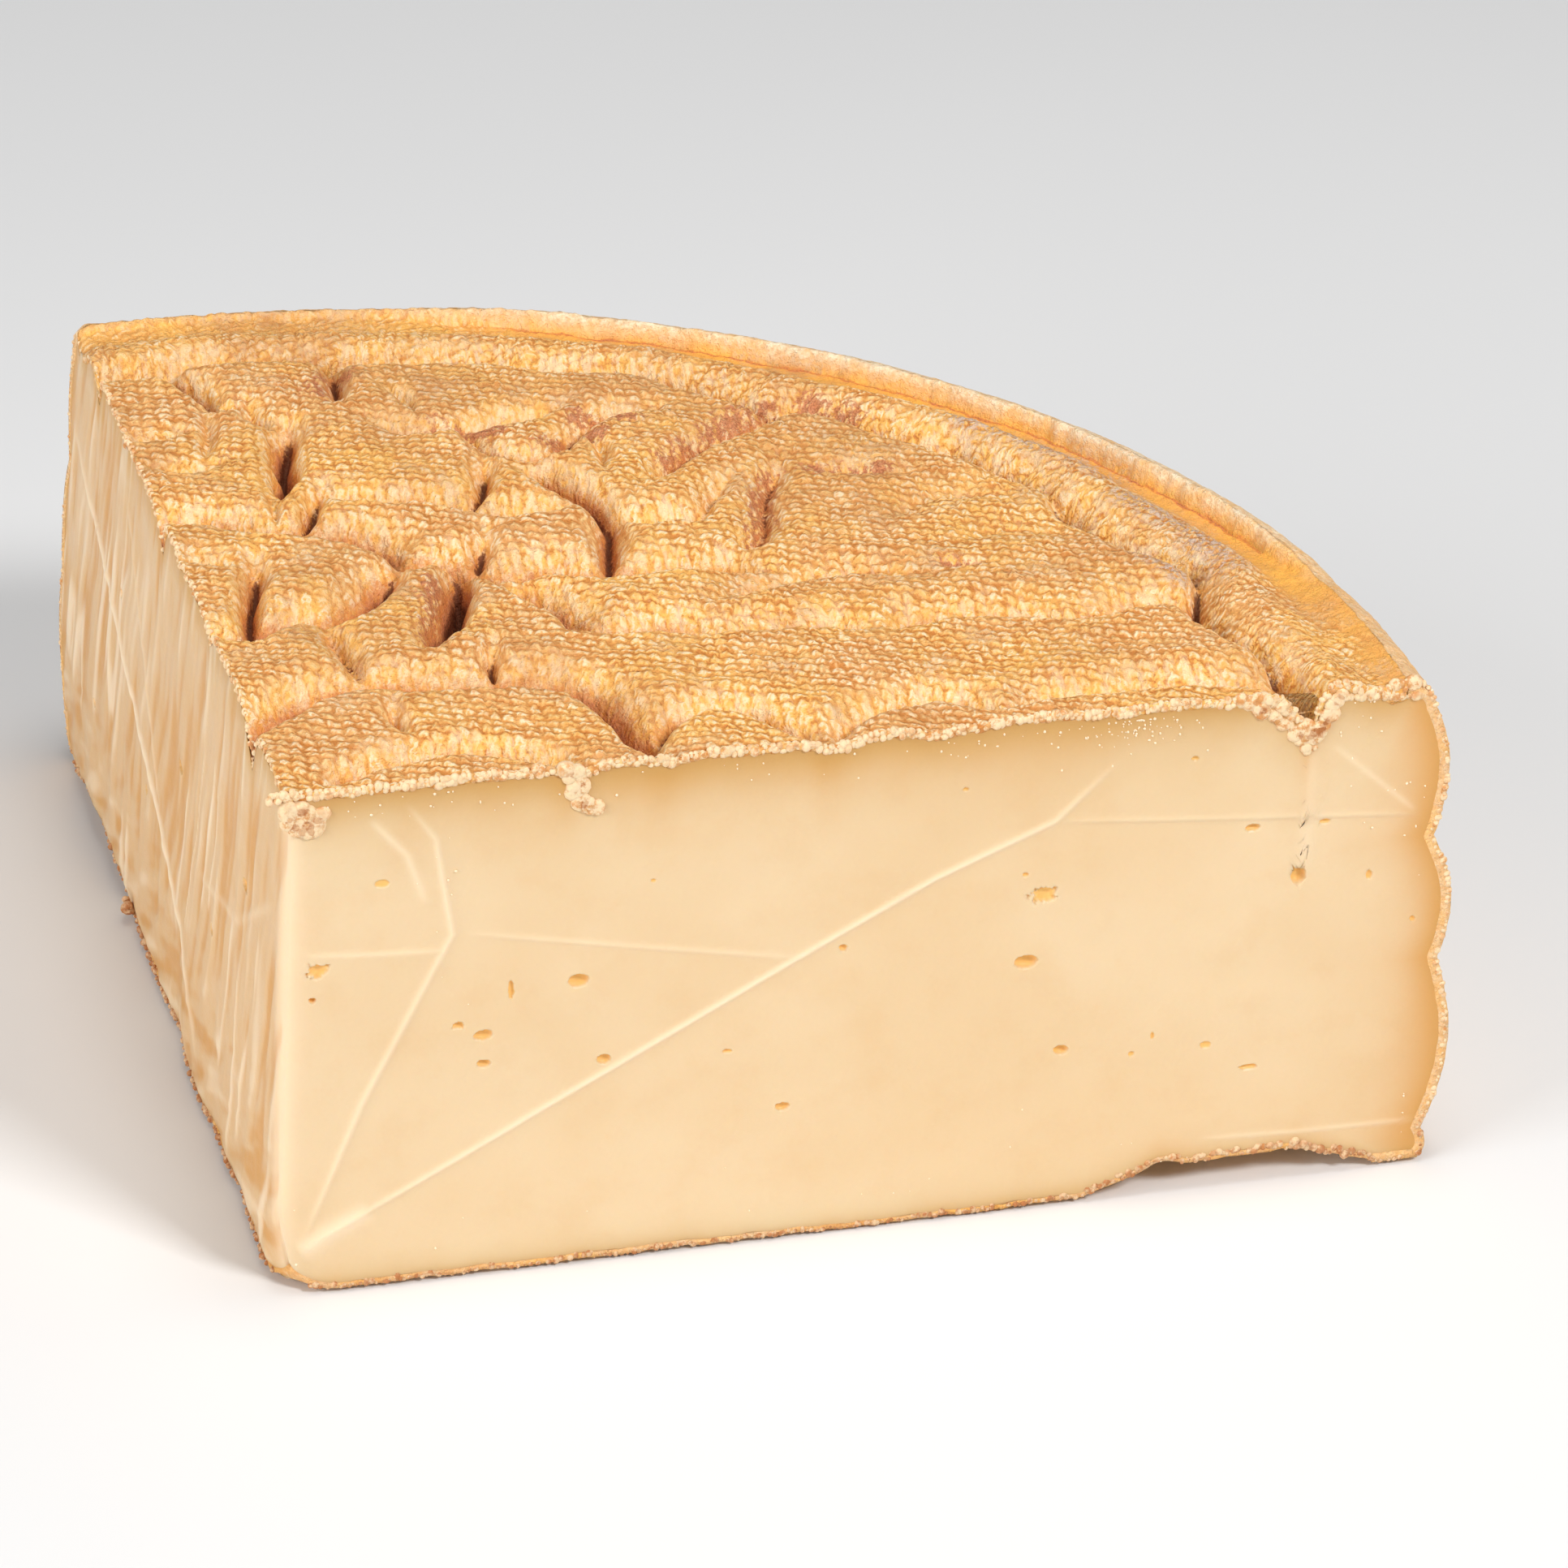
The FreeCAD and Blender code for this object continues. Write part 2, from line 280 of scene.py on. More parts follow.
VALLEYS = (
    # round the big pillow by the corner
    valley(5.2, 4.4, 8.5, (0, 18), (4, 22.5), (8, 26), (12, 29.3), (17, 31.8), (21, 32.3),
           (26, 30.8), (31, 30), (43, 29.3), (47, 27.8), (50.5, 24.5), (53, 17.5), (54.8, 10),
           (56.5, 3)),
    valley(3.6, 3.6, 5.0, (11, 4), (15, 7.5), (19, 9), (24, 10), (30, 10), (34, 9.6), (38, 7.5),
           (42, 4), (45, 0)),
    valley(2.6, 2.6, 2.6, (23.5, 26), (22.8, 21.5), (24, 17)),
    # along the front cut
    valley(3.4, 3.4, 7.0, (55.5, 6), (59, 11), (62, 14.8), (66, 16.2), (70, 14), (73, 10.8),
           (76, 7), (80, 0)),
    valley(2.8, 3.4, 7.5, (79, 0), (83, 6), (87, 9), (92, 11), (96, 12), (99.5, 10.8), (102, 8),
           (105, 5.8), (108, 5.4)),
    valley(2.4, 3.4, 7.5, (104, 5), (108, 5.6), (112, 7.4), (118, 8), (126, 8.6), (132, 8.4),
           (138, 7.4), (143, 5.5), (147, 0)),
    # across the middle
    valley(4.6, 3.8, 9.5, (45, 61), (50, 55), (53, 50), (54.5, 44.5), (58, 43.2), (64, 42.4),
           (70, 40.5), (75, 39.6)),
    valley(2.4, 4.4, 9.0, (70, 40.5), (76, 39.6), (83, 38.5), (90, 37.5), (97, 34.5)),
    valley(3.2, 3.8, 9.0, (94, 34.5), (100, 36.3), (106, 36.6), (112, 35.8), (118, 34),
           (122, 32.2), (127, 31.8), (132, 33.4), (137, 34.4), (142, 32)),
    valley(2.0, 4.6, 8.0, (74, 49), (80, 51.8), (86, 54), (91, 54.8), (96, 54), (101, 51.5),
           (107, 50)),
    # the arch of folds on the left
    valley(5.2, 4.2, 7.5, (3, 52.5), (8, 51), (10, 53), (14, 54.6), (18, 54.8), (20.5, 54),
           (23, 56), (26, 59.6), (29, 63.3), (31, 67.3), (33.3, 69.6)),
    valley(4.4, 4.2, 8.5, (31, 67.3), (33.3, 69.6), (37, 70), (41, 69.2), (43, 66.6), (45, 64),
           (49.5, 63.8), (54, 64.2), (58, 62.4), (62, 61.4), (68, 61.2), (73, 60.4), (79, 59),
           (85, 57)),
    valley(8.0, 4.6, 4.0, (41, 68), (39, 60), (37, 54), (35, 48), (32.5, 42.5)),
    valley(4.8, 3.8, 3.8, (12, 75), (10.5, 66), (9.3, 58), (8.3, 51)),
    valley(3.6, 3.0, 3.0, (41, 41), (39.6, 35.5), (38.8, 30)),
    valley(2.8, 4.6, 4.6, (19, 53), (20.3, 43), (21.4, 36), (22, 31)),
    valley(4.2, 4.2, 4.2, (47, 78), (45, 72), (43.3, 66)),
    valley(4.6, 4.8, 4.8, (56, 99), (60, 92.5), (63, 87.5), (65, 82.5), (65.5, 78), (64, 72),
           (62.8, 66), (62.3, 61)),
    # the long ridge that runs in from the left cut
    valley(4.8, 4.2, 9.0, (-4, 89.5), (3, 90.5), (7, 90), (11, 87.2), (15, 84.8), (18, 83.8),
           (22, 83), (26, 81), (29, 78.8), (31.5, 76), (33, 72.5), (33.3, 69)),
    valley(4.0, 3.2, 3.2, (26, 98), (24, 92.5), (22, 87.5), (19.5, 84)),
    valley(2.2, 1.8, 1.8, (18.5, 98), (18, 90), (18.2, 84)),
    valley(5.8, 4.4, 4.0, (24.5, 122), (23, 114), (22, 107), (20.3, 101), (20, 96)),
    valley(2.6, 3.2, 3.2, (20, 131), (20.5, 125), (22.5, 119)),
    valley(3.4, 3.6, 4.4, (-5, 144.5), (3, 144.4), (8, 142.8), (11.5, 139), (13.8, 133.5),
           (14.6, 129), (19, 128.5)),
    valley(2.0, 2.6, 2.6, (12.8, 128), (12.4, 119), (11.3, 110)),
    valley(1.8, 4.0, 4.5, (-3, 120.5), (5, 119.8), (11, 120.5)),
    valley(1.5, 3.4, 4.0, (0, 110), (8, 107.6), (15, 110)),
    valley(1.6, 3.4, 4.5, (-1, 75.5), (4, 76.5), (8, 73.5), (12, 72)),
    valley(3.6, 3.4, 3.4, (34.4, 143), (34.3, 134), (33.5, 127)),
    valley(1.8, 2.4, 2.4, (41, 132), (43, 125.5), (44.3, 120)),
    valley(2.6, 4.0, 5.5, (36, 119), (41, 114.8), (46, 113.2), (53, 113.6), (60, 115.5),
           (67, 118)),
    valley(3.0, 3.6, 5.5, (50.5, 114), (52, 107), (55, 102.8), (59, 100.8), (62.5, 102.4),
           (65.5, 107), (68.5, 110.3), (73, 113), (80, 114)),
    valley(3.6, 3.4, 3.4, (52, 103), (50.2, 95.5), (48.3, 90), (46, 85)),
    valley(3.6, 3.8, 6.5, (25, 97), (30, 92.4), (35, 90.6), (40, 89.8), (44.5, 87.3),
           (48.5, 84.7), (52, 83), (57, 83.3), (62, 85)),
    valley(2.4, 3.4, 4.5, (65, 77), (70, 76.5), (74, 77.4), (77.5, 76), (80, 79), (83, 84),
           (87, 89)),
    valley(2.0, 2.4, 2.4, (68.5, 93), (69.5, 101), (68, 108)),
    # dusty hollows of the smoother right half
    valley(2.8, 4.8, 5.2, (95, 94), (91, 86), (89, 79), (88, 73), (85.5, 68), (81, 63)),
    valley(3.0, 4.6, 5.0, (74, 89), (80, 96.4), (84, 100.4), (88, 103.6), (92, 105.6), (96, 108),
           (99, 113)),
    valley(2.2, 3.4, 3.4, (87, 121), (93, 116), (97.5, 111)),
    valley(1.7, 4.0, 4.4, (97, 89.5), (104, 86.4), (111, 84)),
    valley(1.8, 3.0, 3.0, (108, 54), (111, 52), (114, 51)),
    valley(1.3, 6.0, 8.0, (104, 70), (114, 76), (124, 74)),
    valley(1.2, 6.0, 8.0, (112, 60), (122, 62), (132, 58)),
)

# Small deep pits: middle, depth and spread.
PITS = (
    ((14.0, 6.0), 4.6, 1.9),
    ((55.0, 9.0), 3.6, 1.7),
    ((35.6, 49.0), 2.4, 2.0),
    ((21.0, 102.5), 2.0, 1.4),
)

# Dry reddish dust that lies in some of the hollows: its line and its spread.
DUSTY = (
    (Trail(((97, 113), (90, 107), (84, 101), (78, 96))), 3.2),
    (Trail(((92, 89), (89, 80), (85, 67))), 2.6),
    (Trail(((99, 88), (108, 86))), 2.4),
    (Trail(((110, 53), (113, 51))), 2.0),
    (Trail(((68, 114), (75, 110))), 2.8),
    (Trail(((61, 106), (69, 105))), 2.6),
    (Trail(((34, 137), (31, 129))), 3.2),
    (Trail(((46, 114), (55, 111))), 3.0),
    (Trail(((104, 112), (109, 106))), 2.4),
    (Trail(((37, 62), (33, 44))), 3.0),
)

# Greyish lilac bloom along the welt.
LILAC = (
    (Trail(((126, 96), (134, 87), (141, 76))), 4.0),
    (Trail(((141, 67), (147, 54), (149, 42))), 3.4),
    (Trail(((138, 50), (141, 40))), 2.0),
)


# ---- the bench


@dataclass(frozen=True)
class Bench:
    """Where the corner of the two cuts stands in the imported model's frame."""

    low: Vector
    high: Vector
    hub: float = 10.3
    reach: float = 162.38

    @property
    def corner(self) -> Vector:
        """The corner's place in metres."""
        return Vector((self.high.x - (self.hub + self.reach) * MM, self.low.y, self.low.z))

    def to_frame(self, points: Array) -> Array:
        """Carry places in millimetres into the frame, kept inside the model's box."""
        placed = points * MM + np.array(self.corner)
        return np.clip(placed, np.array(self.low), np.array(self.high))

    def vector(self, x: float, y: float, z: float) -> Vector:
        """Carry one place into the frame."""
        return Vector((x, y, z)) * MM + self.corner


# ---- the wheel


# The circular crease between the folded middle and the welt: bearing and radius.
CREASE_COURSE = (
    (-6, 139.2), (-3.6, 138.4), (-1.4, 136.6), (1.6, 135.6), (4, 133.8), (6.8, 131.8),
    (9, 132.4), (11, 135), (13.3, 138.2), (16, 136), (18.2, 133.6), (22, 134.1),
    (25, 134), (28.7, 137), (32, 137), (36, 137), (41, 135.6), (45.6, 136.6),
    (49.6, 133.8), (55, 136), (60, 137.8), (64, 134.4), (71, 136.2), (76.5, 134.8),
    (80, 134.7), (88, 135.8), (92, 133.4), (98, 134),
)

# Where that crease is deeper: bearing, extra depth and spread.
GASHES = (
    (-4.4, 4.0, 2.6), (-0.6, 2.4, 1.4), (7.4, 3.0, 1.3), (10.8, 2.2, 1.4), (14.2, 1.4, 1.0),
    (24.6, 3.6, 1.5), (31.0, 1.4, 1.0), (36.0, 2.6, 1.2), (47.8, 1.8, 1.6), (56.0, 1.6, 1.2),
    (61.5, 1.2, 1.6), (72.5, 2.0, 1.2), (77.0, 2.2, 1.2), (80.4, 2.4, 1.0), (84.6, 1.4, 1.0),
    (92.0, 3.0, 1.6),
)


SWEEP = 2.4         # millimetres round the welt for each degree
STAGGER = 0.44      # share of a bump by which each thread lags behind the last
JOIN = 0.34         # how far neighbouring threads' bumps run together


def knit(across: Array, along: Array, ribs: Array) -> Array:
    """Return the cloth's imprint, 0 between its threads to 1 on a bump.

    Args:
        across: place across the threads, one for each thread.
        along: place along them, one for each bump.
        ribs: how far the bumps run together into ribs, 0 to 1.

    Returns:
        The imprint at each place.
    """
    column = np.floor(across)
    part = across - column
    row_place = along + STAGGER * (column + smoothstep(0.5, 1.0, part))
    row = np.floor(row_place)
    rib = JOIN + (1.0 - JOIN) * np.sin(math.pi * part) ** 0.8
    bump = np.abs(np.sin(math.pi * (row_place - row))) ** 0.9
    lucky = np.random.default_rng(35).uniform(0.5, 1.0, (256, 256))
    each = lucky[column.astype(int) % 256, row.astype(int) % 256]
    return rib * (bump * (1.0 - ribs) + ribs) * each


@dataclass(frozen=True)
class Wheel:
    """The shape of the wheel: its wall, its upper and under side and its cuts."""

    hub: float = 10.3
    lean: float = math.radians(3.1)
    yaw: float = math.radians(2.3)
    crease_depth: float = 2.4
    crease_inside: float = 4.8
    crease_outside: float = 6.0
    welt_radius: float = 142.4
    welt_level: float = 79.4
    lip_radius: float = 151.3
    pillow_level: float = 79.1
    groove_level: float = 76.8
    lip_level: float = 79.9
    ceiling: float = 80.1
    weave_across: float = 1.88
    weave_along: float = 1.94
    rib_pitch: float = 1.85
    weave_rise: float = 0.52
    arch_inner: float = 108.0
    arch_outer: float = 152.6
    arch_rise: float = 4.0

    def polar(self, x: Array, y: Array) -> tuple[Array, Array]:
        """Return distance and bearing in degrees from the wheel's axis."""
        return (np.hypot(x - self.hub, y - self.hub),
                np.degrees(np.arctan2(y - self.hub, x - self.hub)))

    def left_cut(self, y: Array, z: Array) -> Array:
        """Return X on the left cut, which leans, bellies out and tucks in below.

        Args:
            y: places along the left cut.
            z: heights.

        Returns:
            X at each place.
        """
        plane = z * math.tan(self.lean) - y * math.tan(self.yaw)
        belly = 1.25 * bell(z - 24.0, 27.0) * smoothstep(70.0, 165.0, y)
        tuck = 1.3 * np.exp(-z / 2.4)
        wave = 1.3 * Noise(58, 19.0, 2)(y, z * 0.4) * smoothstep(34.0, 4.0, z)
        return plane - belly + tuck + wave * smoothstep(6.0, 30.0, y)

    def crease_gap(self, x: Array, y: Array) -> Array:
        """Return how far outside the circular crease a place lies."""
        r, bearing = self.polar(x, y)
        return r - self.crease_radius(bearing)

    def tuck(self, x: Array, y: Array) -> Array:
        """Return how steeply one sheet of rind dips under the other, least at the cuts."""
        from_cut = np.minimum(y, x - self.left_cut(y, np.full_like(y, self.pillow_level)))
        return 0.2 + 2.2 * smoothstep(0.5, 5.0, from_cut)

    def crease_radius(self, bearing: Array) -> Array:
        """Return the radius of the circular crease at a bearing."""
        bearings, radii = zip(*CREASE_COURSE)
        return sum(np.interp(bearing + turn, bearings, radii) for turn in (-0.8, 0.0, 0.8)) / 3

    def lip_strength(self, bearing: Array) -> Array:
        """Return how clearly the shoulder's lip stands out; it dies away near the cuts."""
        return smoothstep(8.0, 18.0, bearing) * (1.0 - 0.8 * smoothstep(66.0, 78.0, bearing))

    def welt(self, r: Array, bearing: Array) -> Array:
        """Return the height of the ring of welt, groove and lip.

        Args:
            r: distances from the wheel's axis.
            bearing: bearings round it, in degrees.

        Returns:
            The height at each place.
        """
        sweep = bearing * SWEEP
        level = np.zeros_like(r)
        lip = self.lip_strength(bearing)
        shift = 0.7 * Noise(11, 15.0)(sweep, level) + 0.3 * (self.crease_radius(bearing) - 135.5)
        crest = self.welt_level - self.groove_level + 0.45 * Noise(12, 11.0)(sweep, level)
        inside = bell(np.minimum(r - self.welt_radius - shift, 0.0), 7.0)
        outside = bell(np.maximum(r - self.welt_radius - shift, 0.0), 3.9)
        height = self.groove_level + crest * inside * outside
        height = height + 1.3 * (1.0 - lip) * smoothstep(144.0, 151.0, r)
        ragged = self.torn(bearing)
        edge = smoothstep(self.lip_radius - 0.25, self.lip_radius + 0.45, r + ragged)
        return height + edge * lip * (self.lip_level - self.groove_level) + (1 - lip) * 0.7 * (
            smoothstep(150.0, 153.0, r))

    def torn(self, bearing: Array) -> Array:
        """Return how far the lip's torn inner edge strays inwards."""
        sweep, level = bearing * SWEEP, np.zeros_like(bearing)
        return 0.5 * Noise(13, 2.0, 3)(sweep, level) + 0.5 * Noise(14, 9.0)(sweep, level)

    def gash(self, bearing: Array) -> Array:
        """Return the depth of the circular crease.

        Args:
            bearing: bearings round it, in degrees.

        Returns:
            The depth at each bearing.
        """
        depth = self.crease_depth + 0.6 * Noise(15, 7.0)(bearing * SWEEP, 0.0 * bearing)
        for middle, extra, spread in GASHES:
            depth = depth + extra * bell(bearing - middle, spread)
        return depth

    def folds(self, x: Array, y: Array) -> tuple[Array, Array, Array]:
        """Return the rind's height without its weave, how deep it lies and its seams.

        Args:
            x, y: places along the front and the left cut.

        Returns:
            Three values for each place.
        """
        u = x + 0.9 * Noise(21, 9.0, 2)(x, y)
        v = y + 0.9 * Noise(22, 9.0, 2)(x, y)
        cubes, seam = np.zeros_like(u), np.zeros_like(u)
        for item in VALLEYS:
            sunk, line = item.sink(u, v)
            cubes += sunk ** 3
            seam = np.maximum(seam, line)
        sunk = cubes ** (1.0 / 3.0)
        for (pit_x, pit_y), depth, spread in PITS:
            sunk = sunk + depth * bell(np.hypot(x - pit_x, y - pit_y), spread)
        swell = 0.6 * Noise(23, 15.0, 2)(x, y) + 0.4 * Noise(24, 5.5, 2)(x, y)
        flatter = 0.8 * bell(np.hypot(x - 106.0, y - 68.0), 34.0)
        middle = self.pillow_level + swell - flatter - sunk
        r, bearing = self.polar(x, y)
        gap = r - self.crease_radius(bearing)
        ring = self.welt(r, bearing) + 0.2 * Noise(25, 5.0, 2)(x, y)
        blend = smoothstep(-1.0, 1.0, gap)
        steeper = self.crease_outside - 2.6 * bell(bearing + 5.0, 4.0)
        width = np.where(gap < 0.0, self.crease_inside, steeper)
        share = np.clip(1.0 - np.abs(gap) / width, 0.0, 1.0) ** 2
        gash = self.gash(bearing)
        gashed = gash * share
        seam = np.maximum(seam * (1.0 - blend), bell(gap, 0.7) * smoothstep(1.4, 4.4, gash))
        height = middle * (1.0 - blend) + ring * blend - gashed - 0.5 * seam
        return height, sunk * (1.0 - blend) + 0.7 * gashed, seam

    def cloth(self, x: Array, y: Array) -> tuple[Array, Array]:
        """Return where a place of the middle lies on the cloth, in threads and bumps.

        Args:
            x, y: places along the front and the left cut.

        Returns:
            Two values for each place.
        """
        lean_x = 1.9 * Noise(31, 26.0)(x, y) + 0.6 * Noise(32, 3.6, 2)(x, y)
        lean_y = 1.9 * Noise(33, 26.0)(x, y) + 0.6 * Noise(34, 3.6, 2)(x, y)
        return (x + lean_x) / self.weave_across, (y + lean_y) / self.weave_along

    def ring_cloth(self, x: Array, y: Array) -> tuple[Array, Array]:
        """Return where a place of the welt lies on its ribs.

        Args:
            x, y: places along the front and the left cut.

        Returns:
            Two values for each place.
        """
        r, bearing = self.polar(x, y)
        sweep = np.radians(bearing) * self.welt_radius + 0.8 * Noise(36, 4.0, 2)(x, y)
        sweep = sweep + 0.9 * Noise(46, 2.4)(x, y)
        return sweep / self.rib_pitch, (r + 1.1 * Noise(39, 4.0, 2)(x, y)) / 1.7

    def top(self, x: Array, y: Array, ring: bool) -> dict[str, Array]:
        """Return the finished upper side: height, place on the cloth and tones.

        Args:
            x: places.
            y: places.
            ring: whether the ribs of the welt or the cloth of the middle lie here.

        Returns:
            An array for each name.
        """
        step = 0.5
        base, sunk, seam = self.folds(x, y)
        slope_x = (self.folds(x + step, y)[0] - base) / step
        slope_y = (self.folds(x, y + step)[0] - base) / step
        slope = np.hypot(slope_x, slope_y)
        r, bearing = self.polar(x, y)
        across, along = self.ring_cloth(x, y) if ring else self.cloth(x, y)
        ribs = 0.75 * smoothstep(0.25, 0.9, slope)
        smooth = np.zeros_like(x)
        rubbed = 0.5 * bell(np.hypot((x - 25.0) / 1.7, y - 20.0), 15.0)
        if ring:
            ribs = np.clip(0.22 + 0.3 * Noise(40, 6.0)(x, y), 0.0, 0.5)
            plain = smoothstep(2.0, 11.0, bearing) * (1.0 - 0.75 * smoothstep(60.0, 74.0, bearing))
            smooth = 0.8 * plain * smoothstep(144.6, 147.8, r + 0.8 * Noise(37, 6.0)(x, y))
            worn = smoothstep(147.0, 152.0, r + 1.5 * Noise(49, 4.0, 2)(x, y))
            smooth = np.maximum(smooth, 0.6 * worn * (1.0 - smoothstep(4.0, 14.0, bearing)))
        threads = knit(across, along, ribs) * (1.0 - smooth)
        fade = 0.85 + 0.45 * Noise(38, 7.0, 3)(x, y)
        grain = 0.2 * Noise(41, 1.2, 2)(x, y) + 0.22 * smooth * Noise(48, 2.6, 2)(x, y)
        grain = grain + 0.45 * smoothstep(2.0, 4.5, sunk) * Noise(47, 0.95, 2)(x, y)
        rise = self.weave_rise * (1.35 if ring else 1.0) * (1.0 - rubbed)
        height = base + rise * fade * (threads - 0.4) + grain
        lip = self.lip_strength(bearing)
        over = r + self.torn(bearing) - self.lip_radius
        band = smoothstep(-0.2, 0.4, over) * lip
        # painted shadow: a thin dark line at the foot of the lip's inner wall, where the torn lip
        # overhangs the groove
        under_lip_shadow = 0.75 * bell(over + 0.75, 0.5) * lip
        return {
            "height": np.minimum(height, self.ceiling),
            "across": across,
            "along": along,
            "ribs": ribs,
            # crease tone: deeper folds are painted amber, then dark brown; the amber is partly the
            # smear's own colour, the darkening with depth is painted shade
            "crease": np.clip(np.maximum(sunk / 7.0, under_lip_shadow), 0.0, 1.0) * (
                1.0 - 0.25 * bell(bearing + 4.8, 3.0)),
            "dust": patches(DUSTY, x, y, 43),
            "pale": band,
            "lilac": patches(LILAC, x, y, 44),
            "smooth": smooth,
            # painted light: slopes that face the front, towards the key lamp, are painted lighter
            # golden as if lit
            "bright": smoothstep(0.05, 0.75, slope_y + 0.3 * slope_x),
            # painted shadow: a thin dark line along the bottom of each fold, where one sheet tucks
            # under the next
            "seam": seam * (1.0 - 0.8 * bell(bearing + 4.8, 2.0)),
            "umber": np.clip(0.5 * smoothstep(85.0, 150.0, y) + 0.4 * rubbed - 0.3 * ring + 0.1
                             + 0.9 * Noise(45, 15.0, 3)(x, y), 0.0, 1.0),
        }

    def wall_outline(self, pitch: float) -> Array:
        """Return (radius, height) down the wall from the lip to inside the foot.

        Args:
            pitch: distance between the places.

        Returns:
            A row for each place.
        """
        arcs = (
            ((152.8, 79.9), (157.4, 74.5), 1.15),
            ((157.4, 74.5), (158.1, 54.0), 2.1),
            ((158.1, 54.0), (159.9, 34.0), 2.4),
            ((159.9, 34.0), (159.3, 5.5), 2.75),
            ((159.3, 5.5), (158.8, 0.05), 1.0),
            ((158.8, 0.05), (151.0, 0.05), 0.0),
        )
        rows = []
        for (r0, z0), (r1, z1), bow in arcs:
            span = math.hypot(r1 - r0, z1 - z0)
            share = np.linspace(0.0, 1.0, max(3, round(span / pitch)), endpoint=False)
            lift = 4.0 * bow * share * (1.0 - share)
            rows.append(np.stack([r0 + (r1 - r0) * share - lift * (z1 - z0) / span,
                                  z0 + (z1 - z0) * share + lift * (r1 - r0) / span], 1))
        return np.concatenate(rows)

    def wall_radius(self, z: Array) -> Array:
        """Return the wall's radius at a height.

        Args:
            z: heights.

        Returns:
            The radius at each height.
        """
        outline = self.wall_outline(0.5)
        keep = outline[outline[:, 0] > 157.0]
        order = np.argsort(keep[:, 1])
        return np.interp(z, keep[order, 1], keep[order, 0])

    def corner_nip(self, from_corner: Array, z: Array) -> Array:
        """Return how far the worn corner draws an edge in, more near the floor."""
        reach = 2.4 + 8.0 * smoothstep(15.0, 0.0, z)
        return np.clip(1.0 - from_corner / reach, 0.0, 1.0) ** 2 * reach * 0.28

    def worn_end(self, x: Array, y: Array) -> Array:
        """Return how far the upper side is worn down at the far end of the left cut."""
        from_cut = x - self.left_cut(y, np.full_like(y, self.pillow_level))
        return 1.5 * np.clip(1.0 - from_cut / 2.6, 0.0, 1.0) ** 2 * smoothstep(146.0, 156.0, y)

    def corner_lift(self, x: Array, y: Array) -> Array:
        """Return how far the worn lower corner stands off the floor."""
        return 0.055 * np.clip(9.0 - x - 0.9 * y, 0.0, None) ** 2

    def underside(self, x: Array, y: Array) -> Array:
        """Return the height of the underside: flat, with a hollow ring near the foot.

        Args:
            x, y: places along the front and the left cut.

        Returns:
            The height at each place.
        """
        r, _ = self.polar(x, y)
        share = np.clip((r - self.arch_inner) / (self.arch_outer - self.arch_inner), 0, 1)
        arch = self.arch_rise * np.sin(math.pi * share) ** 0.8
        near_cut = np.exp(-np.maximum(y, 0.0) / 14.0)
        arch = arch + near_cut * (1.3 * bell(x - 129.5, 3.0) + 0.7 * bell(x - 150.0, 4.5))
        rough = 0.25 + 0.25 * Noise(51, 6.0, 3)(x, y) + 0.12 * Noise(52, 1.7)(x, y)
        return arch + np.clip(rough, 0.0, 1.0)


def patches(trails: Iterable[tuple[Trail, float]], x: Array, y: Array, seed: int) -> Array:
    """Return soft ragged patches round some lines, 0 to 1.

    Args:
        trails: each line with its spread.
        x, y: places along the front and the left cut.
        seed: picks the pattern.

    Returns:
        The patches' strength at each place.
    """
    ragged = 0.45 * Noise(seed, 4.0, 3)(x, y)
    total = np.zeros_like(x)
    for trail, width in trails:
        distance, _, _ = trail.measure(x, y)
        total = np.maximum(total, bell(distance, width) + ragged * bell(distance, width * 1.6))
    return np.clip(total, 0.0, 1.0)


# ---- mesh help


def plan_grid(columns: int, rows: int) -> Plan:
    """Return a flat grid whose X counts columns and Y counts rows.

    Args:
        columns: how many faces along X.
        rows: how many along Y.

    Returns:
        The grid.
    """
    plan = bmesh.new()
    bmesh.ops.create_grid(plan, x_segments=columns, y_segments=rows, size=0.5)
    bmesh.ops.translate(plan, verts=plan.verts, vec=(0.5, 0.5, 0.0))
    bmesh.ops.scale(plan, verts=plan.verts, vec=(columns, rows, 1.0))
    return plan


def close_behind(plan: Plan, centre: Point) -> None:
    """Give an open plan mesh an edge band and close it to one point behind.

    Args:
        plan: the mesh; its skin lies at Z 0, its edge band at -1, its core at -2.
        centre: where the core point lies in the plan.
    """
    rim = [edge for edge in plan.edges if edge.is_boundary]
    for depth in (Depth.EDGE, Depth.CORE):
        made = bmesh.ops.extrude_edge_only(plan, edges=rim)["geom"]
        verts = [item for item in made if isinstance(item, bmesh.types.BMVert)]
        rim = [item for item in made
               if isinstance(item, bmesh.types.BMEdge) and item.is_boundary]
        for vert in verts:
            vert.co.z = depth.value
    bmesh.ops.pointmerge(plan, verts=verts, merge_co=(*centre, Depth.CORE.value))


def plan_points(plan: Plan) -> Array:
    """Return the plan mesh's corners as an array."""
    return np.array([vert.co for vert in plan.verts], dtype=float)


def behind(flat: Array, depth: Depth) -> Array:
    """Return which corners of a plan mesh lie in a layer or behind it."""
    return flat[:, 2] < depth.value + 0.5


def trim(plan: Plan, spare: Array) -> None:
    """Delete a plan mesh's spare corners."""
    gone = [vert for vert, away in zip(plan.verts, spare) if away]
    bmesh.ops.delete(plan, geom=gone, context="VERTS")


